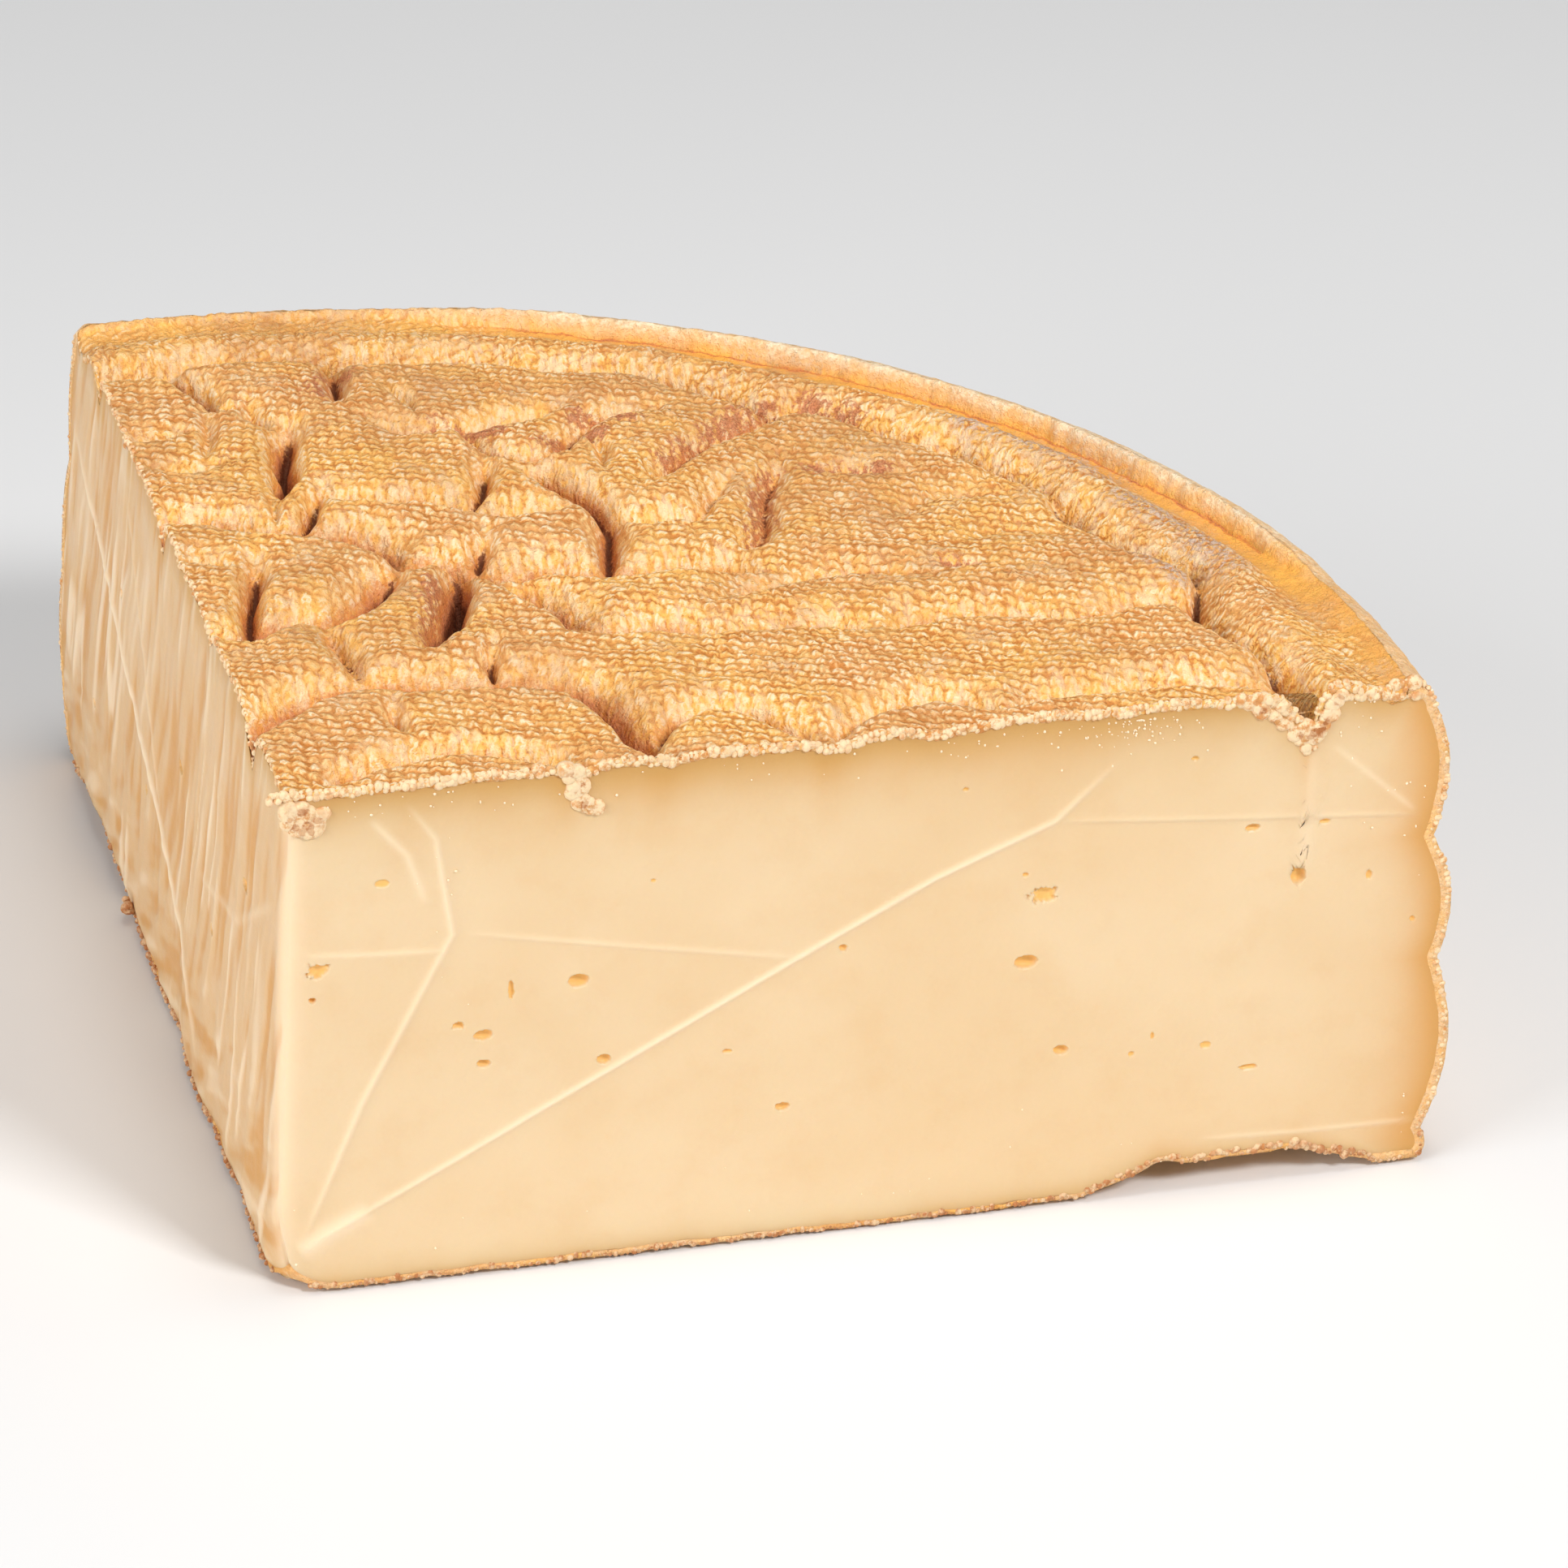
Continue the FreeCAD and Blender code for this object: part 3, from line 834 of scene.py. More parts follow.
def add_piece(name: str, shaped: Plan, places: Array, bench: Bench,
              tones: dict[str, tuple[Array, Array, Array]],
              cloth: tuple[Array, Array] | None = None) -> bpy.types.Object:
    """Turn a plan mesh into a finished piece.

    Args:
        name: the piece's name.
        shaped: the plan mesh, which is freed.
        places: each corner's place in millimetres.
        bench: carries the places into the frame.
        tones: colour attributes by name, three channels each.
        cloth: each corner's place on the cloth, kept as the piece's UV map.

    Returns:
        The object, linked and smooth shaded.
    """
    mesh = bpy.data.meshes.new(name)
    shaped.to_mesh(mesh)
    shaped.free()
    mesh.vertices.foreach_set("co", bench.to_frame(places).astype(np.float32).ravel())
    for label, channels in tones.items():
        layer = mesh.color_attributes.new(label, "FLOAT_COLOR", "POINT")
        values = np.ones((len(mesh.vertices), 4), np.float32)
        for index, channel in enumerate(channels):
            values[:, index] = channel
        layer.data.foreach_set("color", values.ravel())
    point_outwards(mesh)
    if cloth is not None:
        corner_of = np.zeros(len(mesh.loops), np.int32)
        mesh.loops.foreach_get("vertex_index", corner_of)
        pattern = np.stack(cloth, 1).astype(np.float32)[corner_of]
        mesh.uv_layers.new(name=CLOTH_MAP).uv.foreach_set("vector", pattern.ravel())
    mesh.polygons.foreach_set("use_smooth", [True] * len(mesh.polygons))
    mesh.update()
    piece = bpy.data.objects.new(name, mesh)
    bpy.context.scene.collection.objects.link(piece)
    return piece


def point_outwards(mesh: bpy.types.Mesh) -> None:
    """Make a closed mesh's faces point outwards.

    Args:
        mesh: the mesh, changed in place.
    """
    work = bmesh.new()
    work.from_mesh(mesh)
    bmesh.ops.recalc_face_normals(work, faces=work.faces)
    if work.calc_volume(signed=True) < 0:
        bmesh.ops.reverse_faces(work, faces=work.faces)
    work.to_mesh(mesh)
    work.free()


def dress(piece: bpy.types.Object, material: bpy.types.Material) -> bpy.types.Object:
    """Give a piece its material and slot and let it ride on the cheese.

    Args:
        piece: the piece.
        material: the material.

    Returns:
        The same piece.
    """
    piece.data.materials.append(material)
    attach(piece, BODY)
    LOG.info("%s: %d faces", piece.name, len(piece.data.polygons))
    return piece


# ---- the rind


@dataclass
class FoldedTop:
    """The folded middle of the upper rind."""

    wheel: Wheel
    bench: Bench
    pitch: float = 0.44
    overlap: float = 1.5
    band: float = 1.1
    setback: float = 0.4
    reach: float = 148.0
    middle: Point = (50.0, 50.0)
    core: tuple[float, float, float] = (62.0, 62.0, 34.0)

    def build(self, material: bpy.types.Material) -> bpy.types.Object:
        """Model the folded middle and dress it.

        Args:
            material: the rind's material.

        Returns:
            The piece.
        """
        count = math.ceil((self.wheel.hub + self.reach) / self.pitch)
        plan = plan_grid(count, count)
        bmesh.ops.scale(plan, verts=plan.verts, vec=(self.pitch, self.pitch, 1.0))
        trim(plan, self.wheel.crease_gap(*self._places(plan_points(plan))) > self.overlap)
        close_behind(plan, self.middle)
        flat = plan_points(plan)
        x, y = self._places(flat)
        top = self.wheel.top(x, y, ring=False)
        z = top["height"] - self.wheel.tuck(x, y) * np.maximum(self.wheel.crease_gap(x, y), 0.0)
        z = np.where(behind(flat, Depth.EDGE), z - self.band, z)
        places = np.stack([x, y, z], 1)
        places[behind(flat, Depth.CORE)] = self.core
        piece = add_piece("rind_top", plan, places, self.bench, rind_tones(top),
                          (top["across"], top["along"]))
        return dress(piece, material)

    def _places(self, flat: Array) -> tuple[Array, Array]:
        """Return X and Y of the plan's corners; its first column follows the left cut.

        Args:
            flat: the plan mesh's corners.

        Returns:
            X and Y.
        """
        y = flat[:, 1] + self.setback
        edge = self.wheel.left_cut(y, np.full_like(y, self.wheel.pillow_level))
        return flat[:, 0] + edge + self.setback, y


def rind_tones(top: dict[str, Array]) -> dict[str, tuple[Array, Array, Array]]:
    """Return the rind's colour attributes.

    Args:
        top: the upper side as Wheel.top gives it.

    Returns:
        Three channels for each.
    """
    return {
        "weave_tone": (top["ribs"], top["crease"], top["dust"]),
        "bloom_tone": (top["pale"], top["lilac"], top["smooth"]),
        "slope_tone": (top["bright"], top["umber"], top["seam"]),
    }


@dataclass
class Rim:
    """The outer ring of the rind: welt, groove, lip, shoulder, wall and foot."""

    wheel: Wheel
    bench: Bench
    top_rows: int = 42
    wall_pitch: float = 0.8
    columns: int = 540
    overlap: float = 1.5
    outer: float = 152.8
    wall_middle: float = 158.0
    wall_across: float = 1.7
    wall_along: float = 1.6
    setback: float = 0.35
    band: float = 1.3
    core: tuple[float, float, float] = (80.0, 80.0, 40.0)

    def build(self, material: bpy.types.Material) -> bpy.types.Object:
        """Model the ring and dress it.

        Args:
            material: the rind's material.

        Returns:
            The piece.
        """
        wall = self.wheel.wall_outline(self.wall_pitch)
        out_r = -np.gradient(wall[:, 1])
        out_z = np.gradient(wall[:, 0])
        size = np.hypot(out_r, out_z)
        out_r, out_z = out_r / size, out_z / size

        rows = self.top_rows + len(wall)
        plan = plan_grid(self.columns, rows - 1)
        close_behind(plan, (self.columns / 2, rows / 2))
        flat = plan_points(plan)
        share = flat[:, 0] / self.columns
        top = flat[:, 1] < self.top_rows - 0.5
        thick = 1.0 + np.where(top, smoothstep(30.0, 36.0, flat[:, 1]), 0.0)
        inset = np.where(behind(flat, Depth.EDGE), thick * self.band, 0.0)
        row = np.clip(np.rint(flat[:, 1]).astype(int) - self.top_rows, 0, len(wall) - 1)

        level = np.full_like(share, self.wheel.groove_level)
        bearing = self._bearing(np.full_like(share, self.outer), level, share)
        inner = self.wheel.crease_radius(bearing) - self.overlap
        r_top = inner + (self.outer - inner) * np.minimum(flat[:, 1] / self.top_rows, 1.0)
        bearing = self._bearing(r_top, level, share)
        x, y = self._place(r_top, bearing)
        upper = self.wheel.top(x, y, ring=True)
        tuck = self.wheel.tuck(x, y) * np.maximum(-self.wheel.crease_gap(x, y), 0.0)
        z_top = upper["height"] - tuck - inset - self.wheel.worn_end(x, y)

        z_wall = wall[row, 1]
        bearing = self._bearing(wall[row, 0], z_wall, share)
        relief = self._wall_relief(np.radians(bearing) * self.wall_middle, z_wall) - inset
        r_wall = wall[row, 0] + out_r[row] * relief
        edge = self.wheel.top(*self._place(np.full_like(share, self.outer), bearing), ring=True)
        weak = 1.0 - self.wheel.lip_strength(bearing)
        drop = (self.wheel.lip_level - edge["height"]) * smoothstep(74.0, 79.9, z_wall) * weak
        z_wall = np.maximum(z_wall + out_z[row] * relief - drop, 0.0)
        bearing = self._bearing(r_wall, z_wall, share)
        wall_x, wall_y = self._place(r_wall, bearing)
        z_wall = z_wall - self.wheel.worn_end(wall_x, wall_y) * smoothstep(60.0, 76.0, z_wall)

        x, y = np.where(top, x, wall_x), np.where(top, y, wall_y)
        places = np.stack([x, np.maximum(y, 0.0), np.where(top, z_top, z_wall)], 1)
        places[behind(flat, Depth.CORE)] = self.core
        lip = self.wheel.lip_strength(bearing)
        shoulder = smoothstep(68.0, 78.0, z_wall)
        on_wall = {"pale": 0.45 + shoulder * (0.1 + 0.4 * lip), "smooth": 0.75, "umber": 0.3}
        dressed = {name: np.where(top, values, on_wall.get(name, 0.0))
                   for name, values in upper.items()}
        round_wall = np.radians(bearing) * self.wall_middle
        across = np.where(top, upper["across"], round_wall / self.wall_across)
        along = np.where(top, upper["along"], z_wall / self.wall_along)
        piece = add_piece("rind_rim", plan, places, self.bench, rind_tones(dressed),
                          (across, along))
        return dress(piece, material)

    def _bearing(self, r: Array, z: Array, share: Array) -> Array:
        """Return the bearing of a place that is a share of the way between the cuts.

        Args:
            r: distances from the wheel's axis.
            z: heights.
            share: how far it lies between the two ends, 0 to 1.

        Returns:
            In degrees.
        """
        first = -np.arcsin(np.clip((self.wheel.hub - self.setback) / r, -1, 1))
        last = np.full_like(r, math.pi / 2)
        for _ in range(4):
            y = self.wheel.hub + r * np.sin(last)
            x = self.wheel.left_cut(y, z) + self.setback
            last = np.arccos(np.clip((x - self.wheel.hub) / r, -1, 1))
        return np.degrees(first + (last - first) * share)

    def _place(self, r: Array, bearing: Array) -> tuple[Array, Array]:
        """Return X and Y of a place on the ring."""
        turn = np.radians(bearing)
        return self.wheel.hub + r * np.cos(turn), self.wheel.hub + r * np.sin(turn)

    def _wall_relief(self, along: Array, z: Array) -> Array:
        """Return how far the wall stands out of its outline.

        Args:
            along: places round the wall.
            z: heights.

        Returns:
            Millimetres at each place.
        """
        straps = Noise(61, 14.0, 2)(along, z * 2.2)
        pits = Noise(62, 3.2, 3)(along, z * 1.4)
        threads = knit(along / self.wall_across, z / self.wall_along, 0.0 * z)
        return np.minimum(-0.35 + 0.22 * straps + 0.14 * pits + 0.12 * (threads - 0.5), 0.0)


@dataclass
class Underside:
    """The rind that the quarter rests on."""

    wheel: Wheel
    bench: Bench
    pitch: float = 0.8
    reach: float = 153.4
    setback: float = 0.4
    band: float = 0.7
    spare: float = 9.0
    middle: Point = (50.0, 50.0)
    core: tuple[float, float, float] = (62.0, 62.0, 44.0)

    def build(self, material: bpy.types.Material) -> bpy.types.Object:
        """Model the underside and dress it.

        Args:
            material: the rind's material.

        Returns:
            The piece.
        """
        span = self.reach + self.wheel.hub + self.spare
        count = math.ceil(span / self.pitch)
        plan = plan_grid(count, count)
        bmesh.ops.scale(plan, verts=plan.verts, vec=(self.pitch, self.pitch, 1.0))
        x, y = self._places(plan_points(plan))
        trim(plan, self.wheel.polar(x, y)[0] > self.reach)
        close_behind(plan, self.middle)
        flat = plan_points(plan)
        x, y = self._places(flat)
        wear = self.wheel.corner_lift(x, y)
        x, y = self._worn_corner(x, y)
        across, along = self.wheel.cloth(x, y)
        threads = knit(across, along, np.zeros_like(x))
        z = self.wheel.underside(x, y) + 0.18 * (1.0 - threads) + wear
        z = np.where(behind(flat, Depth.EDGE), z + self.band, z)
        places = np.stack([x, y, z], 1)
        places[behind(flat, Depth.CORE)] = self.core
        blank = np.zeros_like(x)
        rough = np.clip(0.4 + 0.6 * Noise(53, 7.0, 3)(x, y), 0.0, 1.0)
        tones = {
            "slope_tone": (blank, rough, blank),
            "weave_tone": (blank, 0.2 * rough, blank),
            "bloom_tone": (0.7 * rough, blank, blank + 0.35),
        }
        piece = add_piece("rind_base", plan, places, self.bench, tones, (across, along))
        return dress(piece, material)

    def _places(self, flat: Array) -> tuple[Array, Array]:
        """Return X and Y of the plan's corners; its first column follows the left cut."""
        y = flat[:, 1] + self.setback
        return flat[:, 0] + self.setback + self.wheel.left_cut(y, np.full_like(y, 0.8)), y

    def _worn_corner(self, x: Array, y: Array) -> tuple[Array, Array]:
        """Return the places drawn in where the worn corner nips the two edges.

        Args:
            x, y: places along the front and the left cut.

        Returns:
            X and Y.
        """
        floor = np.zeros_like(x)
        front = self.wheel.corner_nip(x, floor) * np.exp(-np.maximum(y, 0.0) / 4.0)
        left = self.wheel.corner_nip(y, floor) * np.exp(-np.maximum(x, 0.0) / 4.0)
        return x + left, y + front


# ---- the paste


class Face(Enum):
    """The faces of the paste: the two that the knife leaves, and the hidden one."""

    FRONT = 0
    LEFT = 1
    BACK = 2


@dataclass(frozen=True)
class Eye:
    """A small hole in the paste.

    Args:
        place: along the cut and up it.
        wide: full width.
        tall: full height.
        torn: how ragged its edge is, 0 to 1.
        deep: its depth.
    """

    place: Point
    wide: float
    tall: float
    torn: float = 0.15
    deep: float = 1.2


FRONT_EYES = (
    Eye((8.5, 51.5), 3.0, 2.0, 0.8, 1.2),
    Eye((7.5, 47.0), 1.0, 0.9),
    Eye((17.5, 64.0), 2.2, 1.2, 0.3, 0.5),
    Eye((27.5, 40.5), 1.5, 1.1, 0.9, 1.0),
    Eye((31.0, 38.5), 2.6, 1.7, 0.3, 1.4),
    Eye((31.0, 34.0), 2.0, 1.3, 0.2, 1.2),
    Eye((35.0, 45.2), 0.9, 2.8, 0.5, 0.8),
    Eye((44.5, 45.5), 3.0, 2.1, 0.15, 1.6),
    Eye((48.0, 32.5), 2.0, 1.5, 0.4, 1.3),
    Eye((65.5, 31.5), 1.6, 0.7, 0.4, 0.6),
    Eye((73.5, 21.5), 2.2, 1.3, 0.2, 1.2),
    Eye((82.0, 46.0), 1.3, 1.1, 0.6, 0.9),
    Eye((108.5, 40.5), 3.4, 2.2, 0.15, 1.8),
    Eye((111.0, 51.0), 3.8, 2.2, 0.9, 1.3),
    Eye((108.0, 54.5), 0.9, 0.8, 0.4, 0.5),
    Eye((99.0, 69.0), 0.9, 0.6, 0.3, 0.5),
    Eye((114.0, 25.5), 2.3, 1.5, 0.2, 1.3),
    Eye((124.5, 23.5), 1.0, 0.8, 0.6, 0.5),
    Eye((127.5, 26.0), 0.7, 1.3, 0.6, 0.5),
    Eye((135.5, 23.5), 1.8, 1.2, 0.3, 0.6),
    Eye((141.0, 58.0), 2.2, 1.2, 0.2, 1.2),
    Eye((142.0, 19.0), 2.7, 0.9, 0.5, 0.9),
    Eye((148.0, 49.5), 2.3, 2.7, 0.25, 2.0),
    Eye((151.5, 57.8), 1.7, 0.8, 0.4, 0.7),
    Eye((158.5, 48.5), 0.9, 1.3, 0.6, 0.6),
    Eye((165.5, 40.5), 0.8, 0.9, 0.3, 0.5),
    Eye((132.0, 70.0), 1.2, 0.7, 0.3, 0.6),
    Eye((55.0, 60.0), 0.7, 0.6, 0.3, 0.4),
)

LEFT_EYES = (
    Eye((26.0, 52.0), 3.0, 1.8, 0.5, 1.0),
    Eye((48.0, 33.0), 2.4, 1.6, 0.4, 1.0),
    Eye((74.0, 46.0), 2.8, 2.0, 0.3, 1.2),
    Eye((98.0, 30.0), 2.2, 1.4, 0.5, 0.9),
    Eye((121.0, 52.0), 2.6, 1.6, 0.4, 1.0),
    Eye((140.0, 24.0), 2.0, 1.4, 0.3, 0.9),
)


@dataclass(frozen=True)
class Pull:
    """A line that the wrapping pulled up on the paste.

    Args:
        trail: the line, along the cut and up it.
        rise: how far it stands out.
        width: half its width.
        step: how much lower the paste lies below the line.
        white: how pale it is.
    """

    trail: Trail
    rise: float = 0.14
    width: float = 0.42
    step: float = 0.05
    white: float = 0.6


FRONT_PULLS = (
    Pull(Trail(((6, 8), (22, 16.5), (50, 31.5), (75, 45), (95, 55.5), (112, 62.5), (121, 71))),
         0.32, 0.42, 0.16, 0.9),
    Pull(Trail(((4, 6.5), (9, 9.6), (15, 12.6))), 0.3, 1.3, 0.1, 0.85),
    Pull(Trail(((5, 8.5), (14, 30), (27, 55), (26, 62), (25, 70), (21, 76))),
         0.26, 0.42, 0.08, 0.6),
    Pull(Trail(((6.5, 54), (16, 53.2), (27, 52.6))), 0.2, 0.35, -0.08, 0.4),
    Pull(Trail(((28.5, 55), (50, 50.5), (77, 45))), 0.18, 0.4, 0.1, 0.35),
    Pull(Trail(((112, 62.5), (138, 60), (166, 57.5))), 0.18, 0.4, 0.18, 0.2),
    Pull(Trail(((152, 70), (165, 58))), 0.05, 0.42, 0.0, 0.35),
    Pull(Trail(((149, 70), (149, 50))), 0.03, 0.9, 0.0, 0.25),
    Pull(Trail(((135, 8), (150, 7.2), (168, 7))), 0.1, 0.4, 0.05, 0.4),
    Pull(Trail(((16, 74), (21, 68), (23.5, 60))), 0.12, 0.5, 0.05, 0.5),
)

LEFT_PULLS = (
    Pull(Trail(((165, 62), (150, 56), (120, 44), (95, 33), (70, 19), (55, 6))),
         0.24, 0.8, 0.1, 0.9),
    Pull(Trail(((120, 70), (100, 48), (88, 30))), 0.14, 0.6, 0.05, 0.4),
    Pull(Trail(((5, 60), (30, 44), (60, 36))), 0.12, 0.6, 0.05, 0.35),
)


# Each cut with its eyes and its pulled lines.
CUTS = (
    (Face.FRONT, FRONT_EYES, FRONT_PULLS),
    (Face.LEFT, LEFT_EYES, LEFT_PULLS),
)


@dataclass
class Paste:
    """The paste, with both cut faces, their eyes and pulled lines."""

    wheel: Wheel
    bench: Bench
    front_columns: int = 300
    left_columns: int = 300
    back_columns: int = 40
    rows: int = 128
    setback: float = 0.5
    wall_gap: float = 0.9
    floor_gap: float = 0.45
    roof_gap: float = 0.8
    cut_level: float = 76.5
    cut_length: float = 165.0
    wall_levels: Point = (6.0, 74.0)
    back_gap: float = 3.0
    back_sag: float = 3.5
    cap_level: float = 58.0
    cap_floor: float = 8.0
    cap_middle: float = 70.0
    cap_share: float = 0.05
    fine_reach: float = 1.1
    eye_reach: float = 0.45
    coarse_columns: float = 5.5

    def build(self, material: bpy.types.Material) -> bpy.types.Object:
        """Model the paste and dress it.

        Args:
            material: the paste's material.

        Returns:
            The piece.
        """
        around = self.front_columns + self.left_columns + self.back_columns
        plan = plan_grid(around, self.rows)
        self._refine(plan)
        self._close(plan)
        flat = plan_points(plan)
        places, tones = self._shape(flat)
        piece = add_piece("paste", plan, places, self.bench, {"paste_tone": tones})
        weld_seam(piece.data)
        return dress(piece, material)

    def _refine(self, plan: Plan) -> None:
        """Give the plan mesh finer faces round the eyes and along the pulled lines.

        Args:
            plan: the plan mesh.
        """
        for reach, only_eyes in ((self.fine_reach, False), (self.eye_reach, True)):
            flat = plan_points(plan)
            along, level, face = self._unroll(flat)
            near = np.full(len(flat), np.inf)
            for cut, eyes, pulls in CUTS:
                here = face == cut.value
                a, b = along[here], level[here]
                gap = np.full(len(a), np.inf)
                for eye in eyes:
                    off = np.hypot((a - eye.place[0]) / (eye.wide / 2 + reach),
                                   (b - eye.place[1]) / (eye.tall / 2 + reach))
                    gap = np.minimum(gap, (off - 1.0) * 10)
                if not only_eyes and cut is Face.FRONT:
                    for pull in pulls:
                        gap = np.minimum(gap, pull.trail.measure(a, b)[0] - reach)
                near[here] = gap
            close = (near < 0.0) & (flat[:, 0] > self.coarse_columns)
            edges = [edge for edge in plan.edges
                     if close[edge.verts[0].index] and close[edge.verts[1].index]]
            bmesh.ops.subdivide_edges(plan, edges=edges, cuts=1, use_grid_fill=True)
            plan.verts.index_update()

    def _close(self, plan: Plan) -> None:
        """Cap the tube above and below with faces that lie inside the cheese.

        Args:
            plan: the plan mesh.
        """
        for level, beyond in ((0.0, -1.0), (float(self.rows), self.rows + 1.0)):
            edge_line = [edge for edge in plan.edges if edge.is_boundary
                         and all(abs(vert.co.y - level) < 1e-4 for vert in edge.verts)]
            made = bmesh.ops.extrude_edge_only(plan, edges=edge_line)["geom"]
            for item in made:
                if isinstance(item, bmesh.types.BMVert):
                    item.co.y = beyond

    def _unroll(self, flat: Array) -> tuple[Array, Array, Array]:
        """Return, for each corner, how far along its cut it lies, its height and its cut.

        Args:
            flat: the plan mesh's corners.

        Returns:
            Three values for each corner.
        """
        column, row = flat[:, 0], flat[:, 1]
        rise = np.clip(row / self.rows, 0.0, 1.0)
        front = column <= self.front_columns
        left = ~front & (column <= self.front_columns + self.left_columns)
        share = np.where(front, 1.0 - column / self.front_columns,
                         (column - self.front_columns) / self.left_columns)
        along, level = self._reach(rise, front, np.clip(share, 0.0, 1.0))
        turn = self._turn(column)
        front_along, front_level = self._reach(rise, front | True, np.ones_like(share))
        along = np.where(turn >= 1.0, front_along, along)
        level = level + (front_level - level) * turn
        sag = np.clip(np.minimum(turn, 1.0 - turn) * 20.0, 0.0, 1.0)
        level = level - self.back_sag * rise * sag
        behind = np.where(left, Face.LEFT.value, Face.BACK.value)
        face = np.where(front, Face.FRONT.value, behind)
        return along, level, face

    def _turn(self, column: Array) -> Array:
        """Return how far round the hidden back, 0 to 1, a column lies."""
        beyond = column + 0.001 - self.front_columns - self.left_columns
        return np.clip(beyond / self.back_columns, 0.0, 1.0)

    def _reach(self, rise: Array, front: Array, share: Array) -> tuple[Array, Array]:
        """Return how far along its cut and how high a share of the cut lies.

        Args:
            rise: share of the height, 0 to 1.
            front: whether it lies on the front cut.
            share: how far it lies between the two ends, 0 to 1.

        Returns:
            Place along the cut and height.
        """
        level = self.floor_gap + rise * (self.cut_level - self.floor_gap)
        for _ in range(2):
            end = self._end(level, front)
            start = np.where(front, self.wheel.left_cut(np.zeros_like(level), level), 0.0)
            start = start + self.setback
            along = start + (end - start) * share
            edge_x = np.where(front, along, self.wheel.left_cut(along, level * 0 + 77.0))
            edge_y = np.where(front, 0.0, along)
            roof = self.wheel.folds(edge_x + 0.3, edge_y + 0.3)[0] - self.roof_gap
            far_end = smoothstep(145.0, 152.0, self.wheel.polar(edge_x, edge_y)[0])
            roof = roof - np.where(front, 0.0, 1.6) * far_end
            floor = self._floor(edge_x, edge_y)
            level = floor + rise * (roof - floor)
        return along, level

    def _floor(self, x: Array, y: Array) -> Array:
        """Return how low the paste reaches, over the arch and the worn corner.

        Args:
            x, y: places along the front and the left cut.

        Returns:
            The height at each place.
        """
        ragged = 0.3 * np.clip(Noise(54, 4.0, 3)(x + y, x * 0.0), -1.0, 1.0)
        lift = self.wheel.corner_lift(x, y)
        return self.wheel.underside(x, y) + self.floor_gap + ragged + lift

    def _end(self, level: Array, front: Array) -> Array:
        """Return how far along a cut the paste reaches, just inside the wall.

        Args:
            level: heights up it.
            front: whether it lies on the front cut.

        Returns:
            The place along the cut.
        """
        radius = self.wheel.wall_radius(np.clip(level, *self.wall_levels)) - self.wall_gap
        radius = radius - 5.0 * smoothstep(74.0, 81.0, level)
        aside = np.where(front, self.wheel.hub, self.wheel.hub + 7.0)
        return self.wheel.hub + np.sqrt(radius ** 2 - aside ** 2)

    def _shape(self, flat: Array) -> tuple[Array, tuple[Array, Array, Array]]:
        """Return each corner's place and tones.

        Args:
            flat: the plan mesh's corners.

        Returns:
            Places and three tones.
        """
        along, level, face = self._unroll(flat)
        front, left, back = (face == item.value for item in Face)
        out, white, hollow, shade = self._relief(along, level, face)
        x = np.where(front, along, self.wheel.left_cut(along, level))
        y = np.where(front, 0.0, along)
        out = out * np.clip((self._end(level, front) - along) / 1.5, 0.0, 1.0)
        depth = self.setback - out
        y = y + np.where(front, depth, 0.0)
        x = x + np.where(left, depth, 0.0)
        corner_x = self.wheel.left_cut(np.zeros_like(level), level)
        from_corner = np.maximum(np.where(front, x - corner_x, y) - self.setback, 0.0)
        nip = self.wheel.corner_nip(from_corner, level)
        ebb = np.exp(-from_corner / 3.0)
        x = x + nip * np.where(front, ebb, 1.0)
        y = y + nip * np.where(front, 1.0, ebb)

        turn = self._turn(flat[:, 0])
        radius = self.wheel.wall_radius(np.clip(level, *self.wall_levels)) - self.back_gap
        radius = radius - 5.0 * smoothstep(72.0, 80.0, level)
        hub = self.wheel.hub
        far_cut = self.wheel.left_cut(np.full_like(level, self.cut_length), level)
        first = np.arctan2(self._end(level, np.zeros_like(front)) - hub, far_cut - hub)
        last = -np.arcsin(hub / radius)
        bearing = first + (last - first) * turn
        x = np.where(back & (turn < 1.0), hub + radius * np.cos(bearing), x)
        y = np.where(back & (turn < 1.0), hub + radius * np.sin(bearing), y)
        x = np.where(turn >= 1.0, along, x)
        y = np.where(turn >= 1.0, self.setback, y)

        z = level
        capped = (flat[:, 1] < -0.5) | (flat[:, 1] > self.rows + 0.5)
        x = np.where(capped, x + (self.cap_middle - x) * self.cap_share, x)
        y = np.where(capped, y + (self.cap_middle - y) * self.cap_share, y)
        z = np.where(flat[:, 1] > self.rows + 0.5, self.cap_level, z)
        z = np.where(flat[:, 1] < -0.5, self.cap_floor, z)
        corner = bell(from_corner, 2.6) * ~back
        white = np.maximum(white, 0.55 * corner)
        # the left cut's painted shade joins the tan near the rind here
        rind_tan_and_left_shade = np.maximum(self._near_rind(along, level, face), shade)
        return np.stack([x, y, z], 1), (rind_tan_and_left_shade, white, hollow)

    def _near_rind(self, along: Array, level: Array, face: Array) -> Array:
        """Return how close to the rind a place on a cut lies, 0 to 1.

        Args:
            along: places along the cut.
            level: heights up it.
            face: which face each lies on.

        Returns:
            A value for each place.
        """
        front = face == Face.FRONT.value
        edge_x = np.where(front, along, 2.0)
        edge_y = np.where(front, 2.0, along)
        below_roof = self.wheel.folds(edge_x, edge_y)[0] - level
        above_floor = level - self.wheel.underside(edge_x, edge_y)
        from_wall = self._end(level, front) - along
        wavy = 1.0 + 0.35 * Noise(71, 14.0, 2)(along, level)
        deep = np.exp(-below_roof / (7.0 * wavy))
        deep = np.maximum(deep, 0.75 * np.exp(-above_floor / (2.6 * wavy)))
        return np.maximum(deep, np.exp(-from_wall / (6.5 * wavy)))

